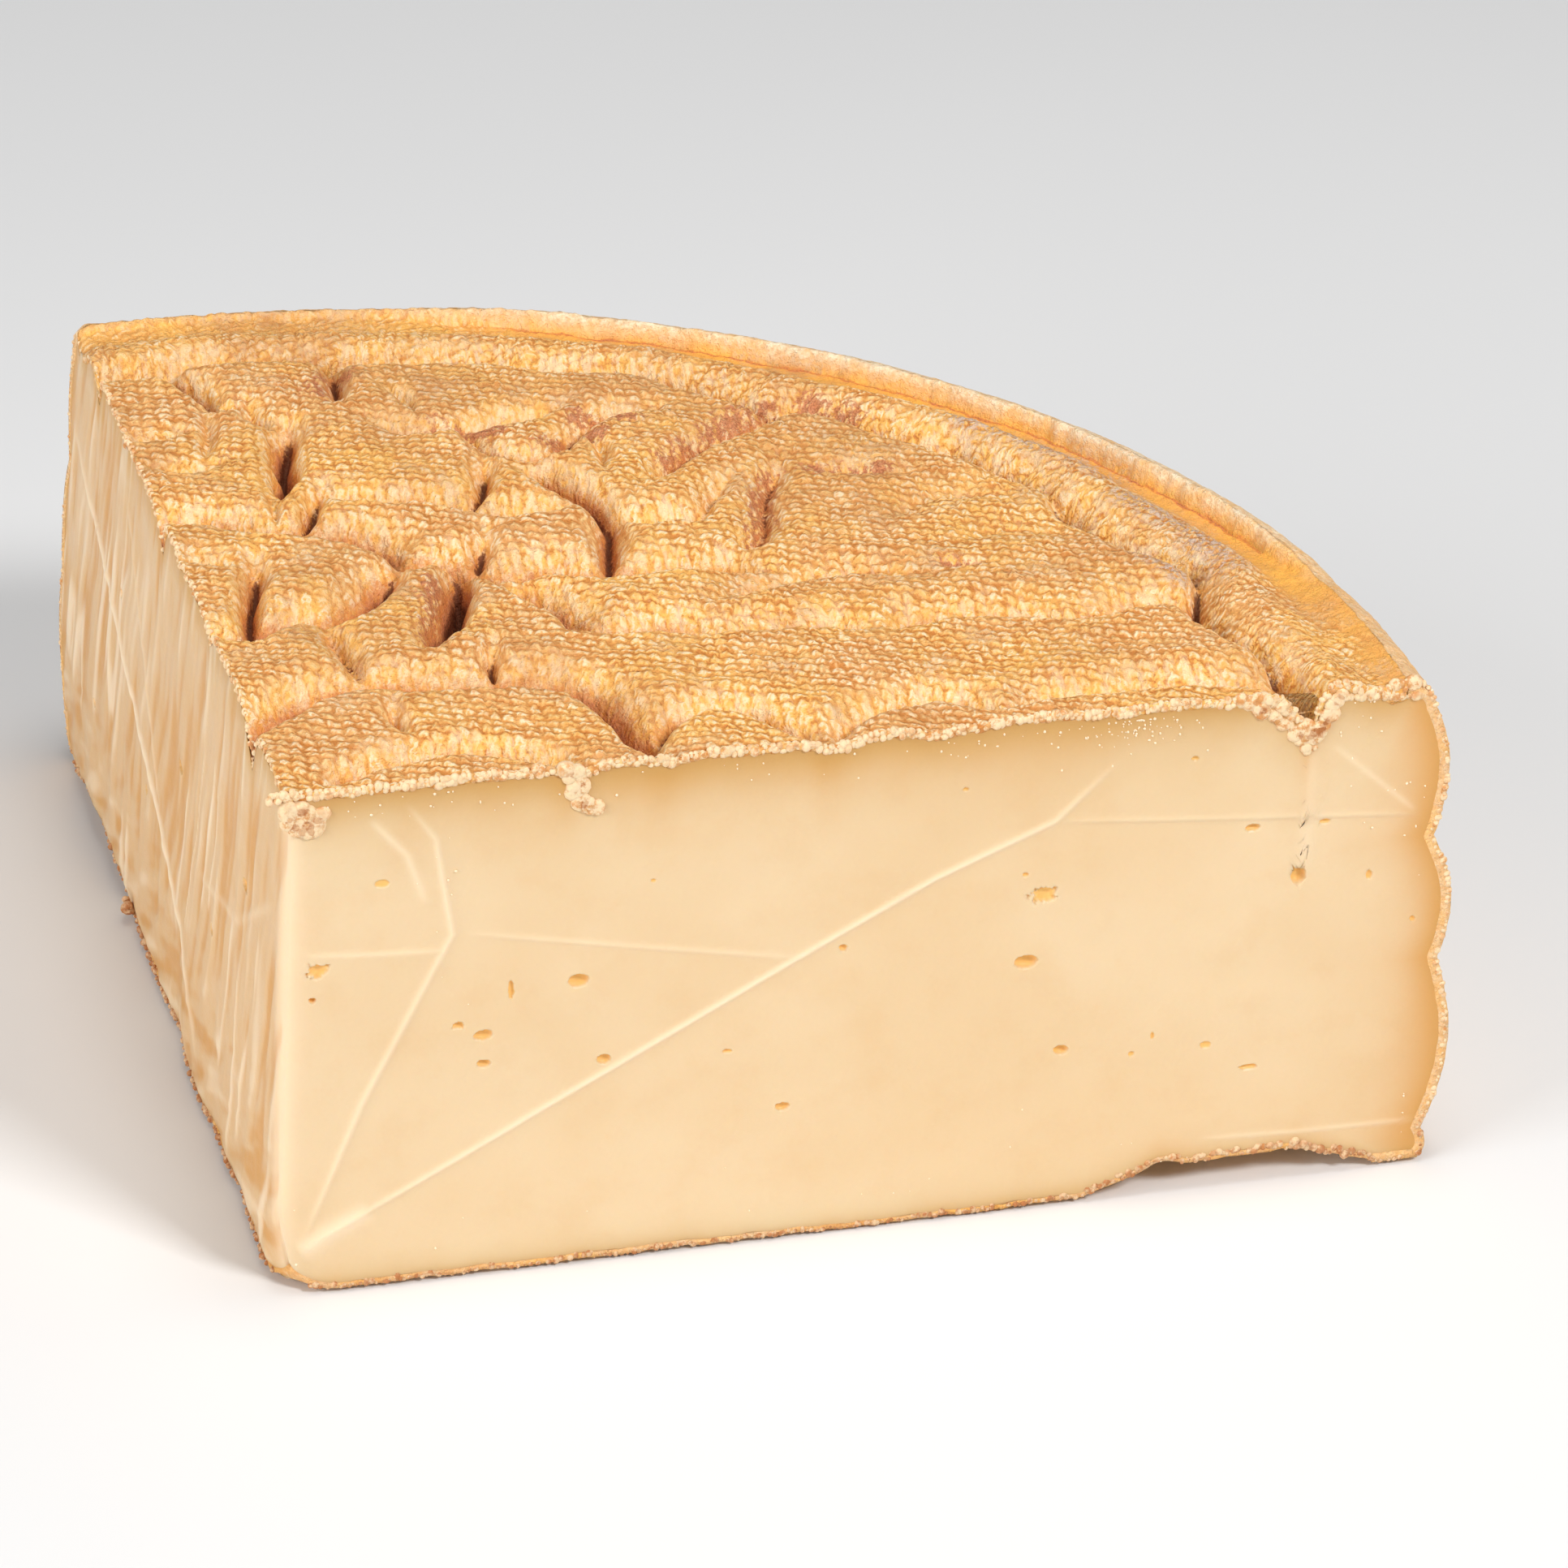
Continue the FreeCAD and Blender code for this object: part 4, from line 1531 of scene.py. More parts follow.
    def _relief(self, along: Array, level: Array, face: Array) -> tuple[Array, ...]:
        """Return how far each place stands out, how pale, how deep in an eye and how tan; on the
        left cut pale and tan are partly painted light and shade.

        Args:
            along: places along the cut.
            level: heights up it.
            face: which face each lies on.

        Returns:
            Four values for each place.
        """
        out = np.zeros_like(along)
        white = np.zeros_like(along)
        hollow = np.zeros_like(along)
        shade = np.zeros_like(along)
        for cut, eyes, pulls in CUTS:
            here = face == cut.value
            a, b = along[here], level[here]
            rise, pale, deep = np.zeros_like(a), np.zeros_like(a), np.zeros_like(a)
            for pull in pulls:
                distance, side, share = pull.trail.measure(a, b)
                fade = 1.0 - np.abs(2.0 * share - 1.0) ** 6
                line = bell(distance, pull.width) * fade
                lower = np.exp(-distance / 2.2) * np.where(side < 0, 1.0, 0.0)
                lower = lower * (1.0 - bell(distance, pull.width))
                rise += pull.rise * line - 1.4 * pull.step * lower * fade
                pale = np.maximum(pale, pull.white * bell(distance, pull.width * 1.2) * fade)
            for number, eye in enumerate(eyes):
                dent = self._eye(eye, number, a, b)
                rise -= 0.65 * eye.deep * dent
                deep = np.maximum(deep, dent)
            if cut is Face.FRONT:
                rise += 0.1 * Noise(72, 21.0, 2)(a, b * 2.0)
                rise += 0.035 * Noise(73, 5.0, 2)(a * 0.5, b * 1.6)
            else:
                drag = a + 0.3 * b + 1.4 * Noise(78, 13.0, 2)(a, b)
                pleats = Noise(74, 3.0, 2)(drag, b * 0.14)
                ripples = Noise(76, 3.2, 2)(a * 0.3, b + 0.4 * a)
                low = smoothstep(34.0, 8.0, b)
                rise += 0.34 * pleats * (1.0 - 0.5 * low) + 0.3 * ripples * low
                rise += 0.22 * Noise(75, 24.0, 2)(a, b)
                streak = pleats * (1.0 - low) + ripples * low
                veins = np.abs(Noise(79, 7.0, 2)(drag, b * 0.13))
                vein = smoothstep(0.13, 0.02, veins) * smoothstep(0.0, 0.3, Noise(77, 18.0)(a, b))
                rise += 0.16 * vein
                # painted light and shade on the left cut: pleat crests are painted pale, troughs
                # tan, and the whole face gets a tan share as painted shade for the side that gets
                # less light
                pale = np.maximum(pale, np.maximum(0.5 * smoothstep(0.2, 0.62, streak),
                                                   0.75 * vein))
                shade[here] = 0.4 * smoothstep(-0.05, -0.6, streak) + 0.4
            out[here], white[here], hollow[here] = rise, pale, deep
        return out, white, hollow, shade

    def _eye(self, eye: Eye, number: int, along: Array, level: Array) -> Array:
        """Return how deep inside an eye each place lies, 0 outside to 1 in its middle.

        Args:
            eye: the eye.
            number: its number, which picks its ragged edge.
            along: places along the cut.
            level: heights up it.

        Returns:
            A value for each place.
        """
        dx = (along - eye.place[0]) / (eye.wide / 2)
        dz = (level - eye.place[1]) / (eye.tall / 2)
        ragged = Noise(81 + number, 0.7, 2)(along, level)
        distance = np.hypot(dx, dz) * (1.0 + 0.55 * eye.torn * ragged)
        return np.sqrt(np.clip(1.0 - distance ** 2, 0.0, 1.0)) ** 0.7


def weld_seam(mesh: bpy.types.Mesh) -> None:
    """Join the two ends of a rolled-up plan and cap it above and below.

    Args:
        mesh: the paste's mesh, changed in place.
    """
    work = bmesh.new()
    work.from_mesh(mesh)
    bmesh.ops.remove_doubles(work, verts=work.verts, dist=0.00002)
    rim = [edge for edge in work.edges if edge.is_boundary]
    bmesh.ops.edgeloop_fill(work, edges=rim)
    work.to_mesh(mesh)
    work.free()
    point_outwards(mesh)


# ---- small pieces


@dataclass
class Crust:
    """The knobbly edge of the rind where the knife went through it, and its crumbs."""

    wheel: Wheel
    bench: Bench
    pitch: float = 1.55
    seed: int = 5
    # folds of rind that reach down into the paste on the front cut: line and size
    tongues: tuple[tuple[Trail, float], ...] = (
        (Trail(((43.2, 78.4), (44.2, 75.6), (45.0, 73.4), (46.6, 72.0), (48.2, 72.6))), 1.15),
        (Trail(((44.6, 78.0), (45.6, 75.0))), 1.1),
        (Trail(((5.0, 77.0), (5.2, 74.6), (7.0, 73.4), (9.0, 74.2), (9.6, 76.4))), 1.5),
        (Trail(((6.8, 76.6), (7.4, 75.0))), 1.4),
        (Trail(((138.5, 78.2), (142.4, 76.0), (145.4, 73.4), (147.4, 71.6))), 1.2),
        (Trail(((140.5, 78.6), (144.0, 76.8), (146.6, 74.4))), 0.9),
        (Trail(((152.6, 77.8), (151.4, 75.6), (150.4, 73.2), (148.8, 71.4))), 1.2),
        (Trail(((148.0, 72.6), (148.9, 71.2), (149.1, 70.4))), 1.35),
        (Trail(((148.8, 71.0), (149.1, 69.8), (149.3, 68.8))), 0.9),
        (Trail(((149.6, 72.4), (149.0, 70.2))), 0.8),
        (Trail(((147.2, 71.2), (147.8, 70.0), (148.5, 68.8))), 0.9),
        (Trail(((153.4, 77.2), (157.0, 77.0), (160.0, 76.6), (163.5, 76.4), (166.4, 76.2))), 0.85),
        (Trail(((160.8, 78.2), (162.6, 78.3), (164.6, 78.3))), 0.95),
    )

    # single lumps: place and size
    lumps: tuple[tuple[float, float, float, float], ...] = (
        (-4.2, 112.0, 2.0, 1.1), (-4.4, 110.9, 3.1, 0.8), (-4.0, 113.2, 1.2, 0.9),
        (-4.6, 111.9, 3.7, 0.6),
    )

    def build(self, material: bpy.types.Material) -> bpy.types.Object:
        """Model the edge and dress it.

        Args:
            material: the crust's material.

        Returns:
            The piece.
        """
        self.draw = np.random.default_rng(self.seed)
        self.work = bmesh.new()
        for x, y, z, size in self.lumps:
            self._knob(x, y, z, size, 3)
        self._upper_edges()
        self._wall_edges()
        self._lower_edges()
        for trail, size in self.tongues:
            for (x, z), _ in trail.walk(0.85):
                self._knob(x + self.draw.uniform(-0.3, 0.3), 0.85, z, size
                           * self.draw.uniform(0.75, 1.25), 3)
        return self._finish(material)

    def _upper_edges(self) -> None:
        """Set two rows of knobs along the upper edge of both cuts."""
        way = np.linspace(0.0, 170.0, 681)
        edges = self.wheel.left_cut(way, np.full_like(way, 78.0))
        front_line = self.wheel.folds(way, np.full_like(way, 0.4))[0]
        left_line = self.wheel.folds(edges + 0.4, way)[0]
        left_line = left_line - 1.4 * self.wheel.worn_end(edges + 0.4, way)
        for drop, size, kept in ((0.25, 0.55, 1.0), (0.75, 0.62, 1.0)):
            x = 2.0
            while x < 163.0:
                x += self.pitch * self.draw.uniform(0.35, 0.8)
                z = float(np.interp(x, way, front_line))
                if self.draw.random() < kept:
                    self._knob(x, 0.7, z - drop * self.draw.uniform(0.7, 1.4),
                               size * self.draw.uniform(0.75, 1.25), 2)
            y = 3.0
            while y < 163.0:
                y += self.pitch * self.draw.uniform(0.6, 1.3)
                edge = float(np.interp(y, way, edges))
                z = float(np.interp(y, way, left_line))
                if self.draw.random() < kept - 0.1:
                    self._knob(edge + 0.6, y, z - drop * self.draw.uniform(0.6, 1.3),
                               size * self.draw.uniform(0.6, 1.0), 2)

    def _wall_edges(self) -> None:
        """Set small knobs down the wall's edge on both cuts, over the shoulder first."""
        outline = self.wheel.wall_outline(0.95)
        for radius, z in outline[(outline[:, 1] > 0.6) & (outline[:, 1] < 79.0)]:
            radius = float(radius) - self.draw.uniform(0.6, 0.95)
            z = float(z) + self.draw.uniform(-0.3, 0.3)
            x = self.wheel.hub + math.sqrt(radius ** 2 - self.wheel.hub ** 2)
            self._knob(x, 0.6, z, self.draw.uniform(0.35, 0.7), 2)
            if z < 76.0:
                y = self.wheel.hub + math.sqrt(radius ** 2 - (self.wheel.hub + 7.0) ** 2)
                edge = float(self.wheel.left_cut(np.array([y]), np.array([z]))[0])
                self._knob(edge + 0.6, y - 0.3, z, self.draw.uniform(0.35, 0.55), 2)

    def _lower_edges(self) -> None:
        """Set crumbly knobs along the lower edge of both cuts."""
        x = 5.0
        while x < 166.0:
            x += self.draw.uniform(0.35, 1.1)
            here = np.array([x]), np.array([0.4])
            z = float(self.wheel.underside(*here)[0] + self.wheel.corner_lift(*here)[0])
            thick = float(smoothstep(98.0, 128.0, x) * smoothstep(166.0, 160.0, x))
            size = self.draw.uniform(0.3, 0.62) + 0.14 * thick
            nip = float(self.wheel.corner_nip(here[0], np.zeros(1))[0])
            lift = self.draw.uniform(0.4, 1.1 + 0.7 * thick)
            self._knob(x, 0.65 + nip, z + size * lift, size, 2)
        y = 4.0
        while y < 164.0:
            y += self.draw.uniform(0.7, 2.4)
            edge = self.wheel.left_cut(np.array([y]), np.array([1.2]))
            lift = float(self.wheel.underside(edge, np.array([y]))[0]
                         + self.wheel.corner_lift(edge, np.array([y]))[0])
            nip = float(self.wheel.corner_nip(np.array([y]), np.zeros(1))[0])
            size = self.draw.uniform(0.35, 0.7)
            self._knob(float(edge[0]) + 0.45 + nip, y, 0.8 * size + lift, size, 2)

    def _knob(self, x: float, y: float, z: float, size: float, detail: int) -> None:
        """Add one uneven knob.

        Args:
            x: its place along the front cut.
            y: along the left cut.
            z: its height.
            size: its radius.
            detail: how often its faces are halved.
        """
        made = bmesh.ops.create_icosphere(self.work, subdivisions=detail, radius=size)
        squash = self.draw.uniform(0.75, 1.2, 3)
        for vert in made["verts"]:
            jolt = 1.0 + self.draw.uniform(-0.05, 0.05)
            vert.co = Vector((vert.co.x * squash[0], vert.co.y * squash[1] * 0.85,
                              vert.co.z * squash[2])) * jolt + Vector((x, y, z))

    def _finish(self, material: bpy.types.Material) -> bpy.types.Object:
        """Turn the knobs into one dressed piece.

        Args:
            material: the material.

        Returns:
            The piece.
        """
        places = plan_points(self.work)
        places[:, 1] = np.maximum(places[:, 1], 0.02)
        low = smoothstep(9.0, 3.0, places[:, 2])
        tones = {"crust_tone": (low, low, low)}
        piece = add_piece("rind_edge", self.work, places, self.bench, tones)
        return dress(piece, material)


@dataclass
class Crumbs:
    """White specks of dried paste and bloom that cling to the front cut."""

    bench: Bench
    seed: int = 9
    # clusters: middle along the cut and up it, spread, count
    clusters: tuple[tuple[float, float, float, float, int], ...] = (
        (126.0, 75.0, 5.0, 1.6, 46), (119.0, 76.5, 4.0, 1.2, 24), (112.0, 75.5, 9.0, 1.6, 26),
        (158.0, 74.0, 6.0, 3.0, 18), (60.0, 75.0, 28.0, 2.6, 20), (20.0, 76.0, 9.0, 1.6, 14),
        (26.0, 62.0, 1.2, 7.0, 10), (85.0, 8.0, 60.0, 4.0, 22), (160.0, 60.0, 5.0, 8.0, 12),
    )

    def build(self, material: bpy.types.Material) -> bpy.types.Object:
        """Model the specks and dress them.

        Args:
            material: their material.

        Returns:
            The piece.
        """
        draw = np.random.default_rng(self.seed)
        work = bmesh.new()
        for along, level, wide, tall, count in self.clusters:
            for _ in range(count):
                x = float(np.clip(draw.normal(along, wide), 4.0, 166.0))
                z = float(np.clip(draw.normal(level, tall), 5.0, 77.0))
                made = bmesh.ops.create_icosphere(work, subdivisions=1,
                                                  radius=float(draw.uniform(0.07, 0.19)))
                bmesh.ops.scale(work, verts=made["verts"], vec=draw.uniform(0.7, 1.5, 3))
                bmesh.ops.translate(work, verts=made["verts"], vec=(x, 0.46, z))
        places = plan_points(work)
        piece = add_piece("specks", work, places, self.bench, {})
        return dress(piece, material)


# ---- finishes


def linear(red: float, green: float, blue: float) -> tuple[float, float, float, float]:
    """Return a display colour, 0 to 255, as the linear colour that nodes take.

    Args:
        red, green, blue: 0 to 255.

    Returns:
        Red, green, blue and 1.
    """
    def channel(value: float) -> float:
        """Return one channel as a linear value."""
        share = value / 255.0
        return share / 12.92 if share <= 0.04045 else ((share + 0.055) / 1.055) ** 2.4
    return channel(red), channel(green), channel(blue), 1.0


class Nodes:
    """A short way to write a material's nodes."""

    def __init__(self, name: str) -> None:
        """Start a material with an empty tree, a surface shader and an output.

        Args:
            name: its name.
        """
        self.material = bpy.data.materials.new(name)
        self.material.use_nodes = True
        self.tree = self.material.node_tree
        self.tree.nodes.clear()
        self.shader = self.tree.nodes.new("ShaderNodeBsdfPrincipled")
        output = self.tree.nodes.new("ShaderNodeOutputMaterial")
        self.tree.links.new(self.shader.outputs[0], output.inputs["Surface"])
        self.coords = self.tree.nodes.new("ShaderNodeTexCoord").outputs["Object"]

    def _feed(self, socket: Socket, value: object) -> None:
        """Link a socket, or set its value.

        Args:
            socket: the socket.
            value: a socket to link or a value to set.
        """
        if isinstance(value, Socket):
            self.tree.links.new(value, socket)
        else:
            socket.default_value = value

    def tone(self, name: str) -> tuple[Socket, ...]:
        """Return the three channels of one of the piece's colour attributes.

        Args:
            name: the attribute's name.

        Returns:
            Three sockets.
        """
        node = self.tree.nodes.new("ShaderNodeAttribute")
        node.attribute_name = name
        split = self.tree.nodes.new("ShaderNodeSeparateColor")
        self.tree.links.new(node.outputs["Color"], split.inputs[0])
        return tuple(split.outputs)

    def noise(self, size_mm: float, detail: float = 3.0, rough: float = 0.55,
              stretch: tuple[float, float, float] = (1, 1, 1)) -> Socket:
        """Return noise whose bumps are about size_mm apart.

        Args:
            size_mm: distance between bumps.
            detail: how many finer layers.
            rough: how strong they are.
            stretch: scale along each axis.

        Returns:
            The socket.
        """
        mapping = self.tree.nodes.new("ShaderNodeMapping")
        self.tree.links.new(self.coords, mapping.inputs["Vector"])
        mapping.inputs["Scale"].default_value = stretch
        node = self.tree.nodes.new("ShaderNodeTexNoise")
        self.tree.links.new(mapping.outputs[0], node.inputs["Vector"])
        node.inputs["Scale"].default_value = 1.0 / (size_mm * MM)
        node.inputs["Detail"].default_value = detail
        node.inputs["Roughness"].default_value = rough
        return node.outputs[0]

    def math(self, kind: str, *values: object) -> Socket:
        """Return the result of a Math node.

        Args:
            kind: the node's operation.
            values: sockets or values.

        Returns:
            The socket.
        """
        node = self.tree.nodes.new("ShaderNodeMath")
        node.operation = kind
        for socket, value in zip(node.inputs, values):
            self._feed(socket, value)
        return node.outputs[0]

    def times(self, *values: object) -> Socket:
        """Return two values multiplied."""
        return self.math("MULTIPLY", *values)

    def plus(self, *values: object) -> Socket:
        """Return two values added."""
        return self.math("ADD", *values)

    def minus(self, *values: object) -> Socket:
        """Return one value less another."""
        return self.math("SUBTRACT", *values)

    def swing(self, value: object, reach: float) -> Socket:
        """Return how far noise swings from its middle, times reach."""
        return self.times(self.minus(value, 0.5), reach)

    def remap(self, value: object, low: float, high: float,
              to_low: float = 0.0, to_high: float = 1.0) -> Socket:
        """Return a value eased from one range to another, held at both ends.

        Args:
            value: the value.
            low: where it starts to rise.
            high: where it stops.
            to_low: what it is below.
            to_high: what it is above.

        Returns:
            The socket.
        """
        node = self.tree.nodes.new("ShaderNodeMapRange")
        node.interpolation_type = "SMOOTHSTEP"
        for label, item in (("Value", value), ("From Min", low), ("From Max", high),
                            ("To Min", to_low), ("To Max", to_high)):
            self._feed(node.inputs[label], item)
        return node.outputs[0]

    def mix(self, share: object, first: object, second: object) -> Socket:
        """Return two colours mixed.

        Args:
            share: share of the second.
            first: a socket or a colour.
            second: a socket or a colour.

        Returns:
            The socket.
        """
        node = self.tree.nodes.new("ShaderNodeMix")
        node.data_type = "RGBA"
        self._feed(node.inputs["Factor"], share)
        for socket, shade in ((node.inputs[6], first), (node.inputs[7], second)):
            shown = isinstance(shade, tuple) and len(shade) == 3
            self._feed(socket, linear(*shade) if shown else shade)
        return node.outputs[2]

    def bump(self, height: object, reach_mm: float,
             below: object = None) -> Socket:
        """Return a bumped normal; a height of 1 stands reach_mm proud.

        Args:
            height: the height.
            reach_mm: how far a height of 1 stands out.
            below: another bump to lie on.

        Returns:
            The socket.
        """
        node = self.tree.nodes.new("ShaderNodeBump")
        node.inputs["Distance"].default_value = reach_mm * MM
        node.inputs["Strength"].default_value = 1.0
        self._feed(node.inputs["Height"], height)
        if below is not None:
            self._feed(node.inputs["Normal"], below)
        return node.outputs[0]

    def set(self, **values: object) -> None:
        """Set or link sockets of the surface shader."""
        for name, value in values.items():
            self._feed(self.shader.inputs[name.replace("_", " ")], value)


@dataclass(frozen=True)
class RindFinish:
    """Dry washed rind with a cloth imprint: golden hollows, cream tips, and folds painted amber to
    dark brown, partly their colour and partly painted shade; front-facing slopes get painted
    light.
    """

    name: str = "washed_rind"
    hollow: Colour = (206, 128, 54)
    golden: Colour = (253, 192, 96)
    tan: Colour = (230, 168, 104)
    tip: Colour = (255, 210, 142)
    cream: Colour = (255, 235, 200)
    bloom: Colour = (224, 180, 132)
    # fold brown: painted shade in the deepest creases and along the fold seams
    fold: Colour = (116, 58, 26)
    # amber: the creases' colour, partly the smear's own and partly painted shade
    amber: Colour = (214, 128, 56)
    rust: Colour = (164, 90, 56)
    dust: Colour = (210, 134, 90)
    band: Colour = (236, 196, 150)
    lilac: Colour = (212, 184, 164)
    crack: Colour = (146, 98, 70)
    umber: Colour = (202, 142, 84)
    smooth: Colour = (250, 180, 74)

    def make(self) -> bpy.types.Material:
        """Return the material.

        Returns:
            The material.
        """
        n = Nodes(self.name)
        ribs, crease, dust = n.tone("weave_tone")
        pale, lilac, smooth = n.tone("bloom_tone")
        broad = n.noise(26.0, 3.0)
        middling = n.noise(5.0, 4.0, 0.6)
        fine = n.noise(0.9, 4.0, 0.65)
        grit = n.noise(0.3, 2.0, 0.6)
        threads, luck = self._threads(n, ribs)
        woven = n.minus(1.0, smooth)
        threads = n.times(threads, woven)

        # slope_tone holds the painted lit-slope mask, the umber browning and the seams' painted
        # shadow line
        bright, umber, seam = n.tone("slope_tone")
        lines = self._lines(n)
        ground = n.mix(n.remap(broad, 0.38, 0.62, 0.25, 0.9), self.golden,
                       self.tan)
        # painted light: front-facing slopes are painted golden as if lit, the rest keeps the tan
        # ground
        ground = n.mix(n.times(bright, 0.9), ground, self.golden)
        flat = n.mix(n.remap(middling, 0.42, 0.7, 0.0, 0.6), self.smooth,
                     self.tan)
        rough_tip = n.plus(threads, n.swing(fine, 1.2))
        hollows = n.times(n.remap(rough_tip, 0.5, 0.1), woven)
        hollows = n.times(hollows, n.remap(middling, 0.3, 0.6, 0.35, 1.0))
        base = n.mix(hollows, ground, self.hollow)
        base = n.mix(n.remap(rough_tip, 0.5, 0.95), base, self.tip)
        whitened = n.times(n.remap(rough_tip, 0.35, 0.8), n.remap(luck, 0.1, 0.9))
        whitened = n.times(whitened, lines)
        # painted highlight: whitish streaks painted only on the front-facing slopes, following the
        # painted lit-slope mask
        lit_slope_streaks = n.times(bright, n.remap(n.noise(1.2, 3.0, 0.6, (1, 0.3, 0.3)), 0.44, 0.62))
        whitened = n.math("MAXIMUM", whitened, n.times(lit_slope_streaks, 0.8))
        base = n.mix(n.times(whitened, n.times(woven, 0.7)), base,
                     self.cream)
        base = n.mix(n.times(smooth, 0.9), base, flat)
        powder = n.times(n.remap(n.noise(9.0, 4.0, 0.6), 0.5, 0.7),
                        n.remap(fine, 0.4, 0.6, 0.05, 0.75))
        base = n.mix(powder, base, self.bloom)
        browner = n.times(umber, n.remap(middling, 0.35, 0.62, 0.2, 0.75))
        base = n.mix(browner, base, self.umber)
        banded = n.mix(n.remap(fine, 0.35, 0.68), self.band, self.cream)
        base = n.mix(n.times(pale, n.remap(middling, 0.25, 0.6, 0.45, 1.0)), base, banded)
        greyed = n.mix(n.times(lines, n.remap(fine, 0.6, 0.45)),
                       self.lilac, self.crack)
        base = n.mix(n.times(lilac, n.remap(fine, 0.42, 0.56, 0.1, 0.95)), base, greyed)
        grains = n.plus(n.swing(grit, 1.6),
                        n.swing(middling, 2.2))
        speckle = n.swing(fine, 2.6)
        lain = n.plus(dust, n.plus(speckle, n.times(grains, 0.5)))
        lain = n.minus(lain, n.times(threads, 0.5))
        powdery = n.mix(n.remap(grit, 0.38, 0.6), self.rust, self.dust)
        lain = n.times(n.remap(lain, 0.25, 0.7, 0.0, 0.88), n.remap(dust, 0.05, 0.35))
        base = n.mix(lain, base, powdery)
        # creases painted amber, dusty and then dark brown with depth: partly the smear's colour
        # and dust, and the darkening with depth is painted shade
        deep = n.plus(crease, n.times(n.plus(grains, speckle), 0.22))
        base = n.mix(n.remap(deep, 0.28, 0.62, 0.0, 0.8), base, self.amber)
        base = n.mix(n.remap(deep, 0.5, 0.8, 0.0, 0.85), base, powdery)
        base = n.mix(n.remap(deep, 0.74, 1.0, 0.0, 0.92), base, self.fold)
        # painted shadow: the fold seams get a thin ragged line of the dark fold brown, standing in
        # for the shade between tucked sheets
        torn = n.plus(seam, n.swing(fine, 1.6))
        torn = n.times(n.remap(torn, 0.3, 0.7, 0.0, 0.9), n.remap(seam, 0.05, 0.3))
        base = n.mix(torn, base, self.fold)
        n.set(Base_Color=base, Roughness=n.remap(fine, 0.3, 0.7, 0.55, 0.8))
        n.set(Specular_IOR_Level=0.4, Subsurface_Weight=0.08, Subsurface_Scale=0.0015)
        fuzz = n.plus(n.times(fine, 0.7), n.times(grit, 0.3))
        raised = n.plus(threads, n.times(lines, 0.35))
        n.set(Normal=n.bump(raised, 0.2, n.bump(fuzz, 0.45)))
        return n.material

    def _lines(self, n: Nodes) -> Socket:
        """Return a web of thin wrinkles, 1 on a wrinkle.

        Args:
            n: the material's nodes.

        Returns:
            The socket.
        """
        webs = []
        for size in (1.5, 1.1):
            off = n.math("ABSOLUTE", n.minus(n.noise(size, 2.0, 0.6), 0.5))
            webs.append(n.remap(off, 0.1, 0.02))
        return n.math("MAXIMUM", *webs)

    def _threads(self, n: Nodes, ribs: Socket) -> tuple[Socket, ...]:
        """Return the cloth's imprint from the piece's cloth map, and each bump's luck.

        Args:
            n: the material's nodes.
            ribs: how far the bumps run together.

        Returns:
            The imprint and the luck.
        """
        cloth = n.tree.nodes.new("ShaderNodeUVMap")
        cloth.uv_map = CLOTH_MAP
        split = n.tree.nodes.new("ShaderNodeSeparateXYZ")
        n.tree.links.new(cloth.outputs[0], split.inputs[0])
        jitter = n.swing(n.noise(2.2, 2.0), 0.9)
        other = n.swing(n.noise(2.6, 2.0), 1.1)
        across = n.plus(split.outputs[0], jitter)
        column = n.math("FLOOR", across)
        part = n.minus(across, column)
        lag = n.plus(column, n.remap(part, 0.5, 1.0))
        along = n.plus(n.plus(split.outputs[1], other),
                       n.times(lag, STAGGER))
        row = n.math("FLOOR", along)
        rib = n.plus(n.times(self._wave(n, part), 1.0 - JOIN), JOIN)
        bump = self._wave(n, n.minus(along, row))
        run_in = n.plus(n.times(bump, n.minus(1.0, ribs)), ribs)
        slanted = n.minus(n.times(across, 2.0), along)
        twist = n.math("COSINE", n.times(slanted, 2.0 * math.pi))
        strand = n.plus(n.times(twist, 0.22), 0.78)
        place = n.tree.nodes.new("ShaderNodeCombineXYZ")
        n.tree.links.new(column, place.inputs[0])
        n.tree.links.new(row, place.inputs[1])
        luck = n.tree.nodes.new("ShaderNodeTexWhiteNoise")
        luck.noise_dimensions = "2D"
        n.tree.links.new(place.outputs[0], luck.inputs["Vector"])
        woven = n.times(n.times(rib, run_in), strand)
        return woven, luck.outputs["Value"]

    def _wave(self, n: Nodes, share: Socket) -> Socket:
        """Return a round-topped arch over a share from 0 to 1."""
        return n.math("POWER", n.math("SINE", n.times(share, math.pi)), 0.8)


@dataclass(frozen=True)
class CrustFinish:
    """The rind's cut edge: dry, whitish and crumbly."""

    name: str = "cut_crust"
    cream: Colour = (244, 212, 170)
    toasted: Colour = (214, 148, 88)
    brown: Colour = (178, 114, 68)

    def make(self) -> bpy.types.Material:
        """Return the material.

        Returns:
            The material.
        """
        n = Nodes(self.name)
        fine = n.noise(1.1, 4.0, 0.65)
        patchy = n.noise(4.0, 3.0)
        share = n.times(n.remap(fine, 0.44, 0.62), n.remap(patchy, 0.35, 0.6, 0.3, 1.0))
        base = n.mix(share, self.cream, self.toasted)
        low = n.tone("crust_tone")[0]
        base = n.mix(n.times(low, n.remap(fine, 0.35, 0.6, 0.25, 0.9)), base,
                     self.brown)
        n.set(Base_Color=base)
        n.set(Roughness=0.8, Specular_IOR_Level=0.3, Subsurface_Weight=0.1,
              Subsurface_Scale=0.002, Normal=n.bump(fine, 0.2))
        return n.material


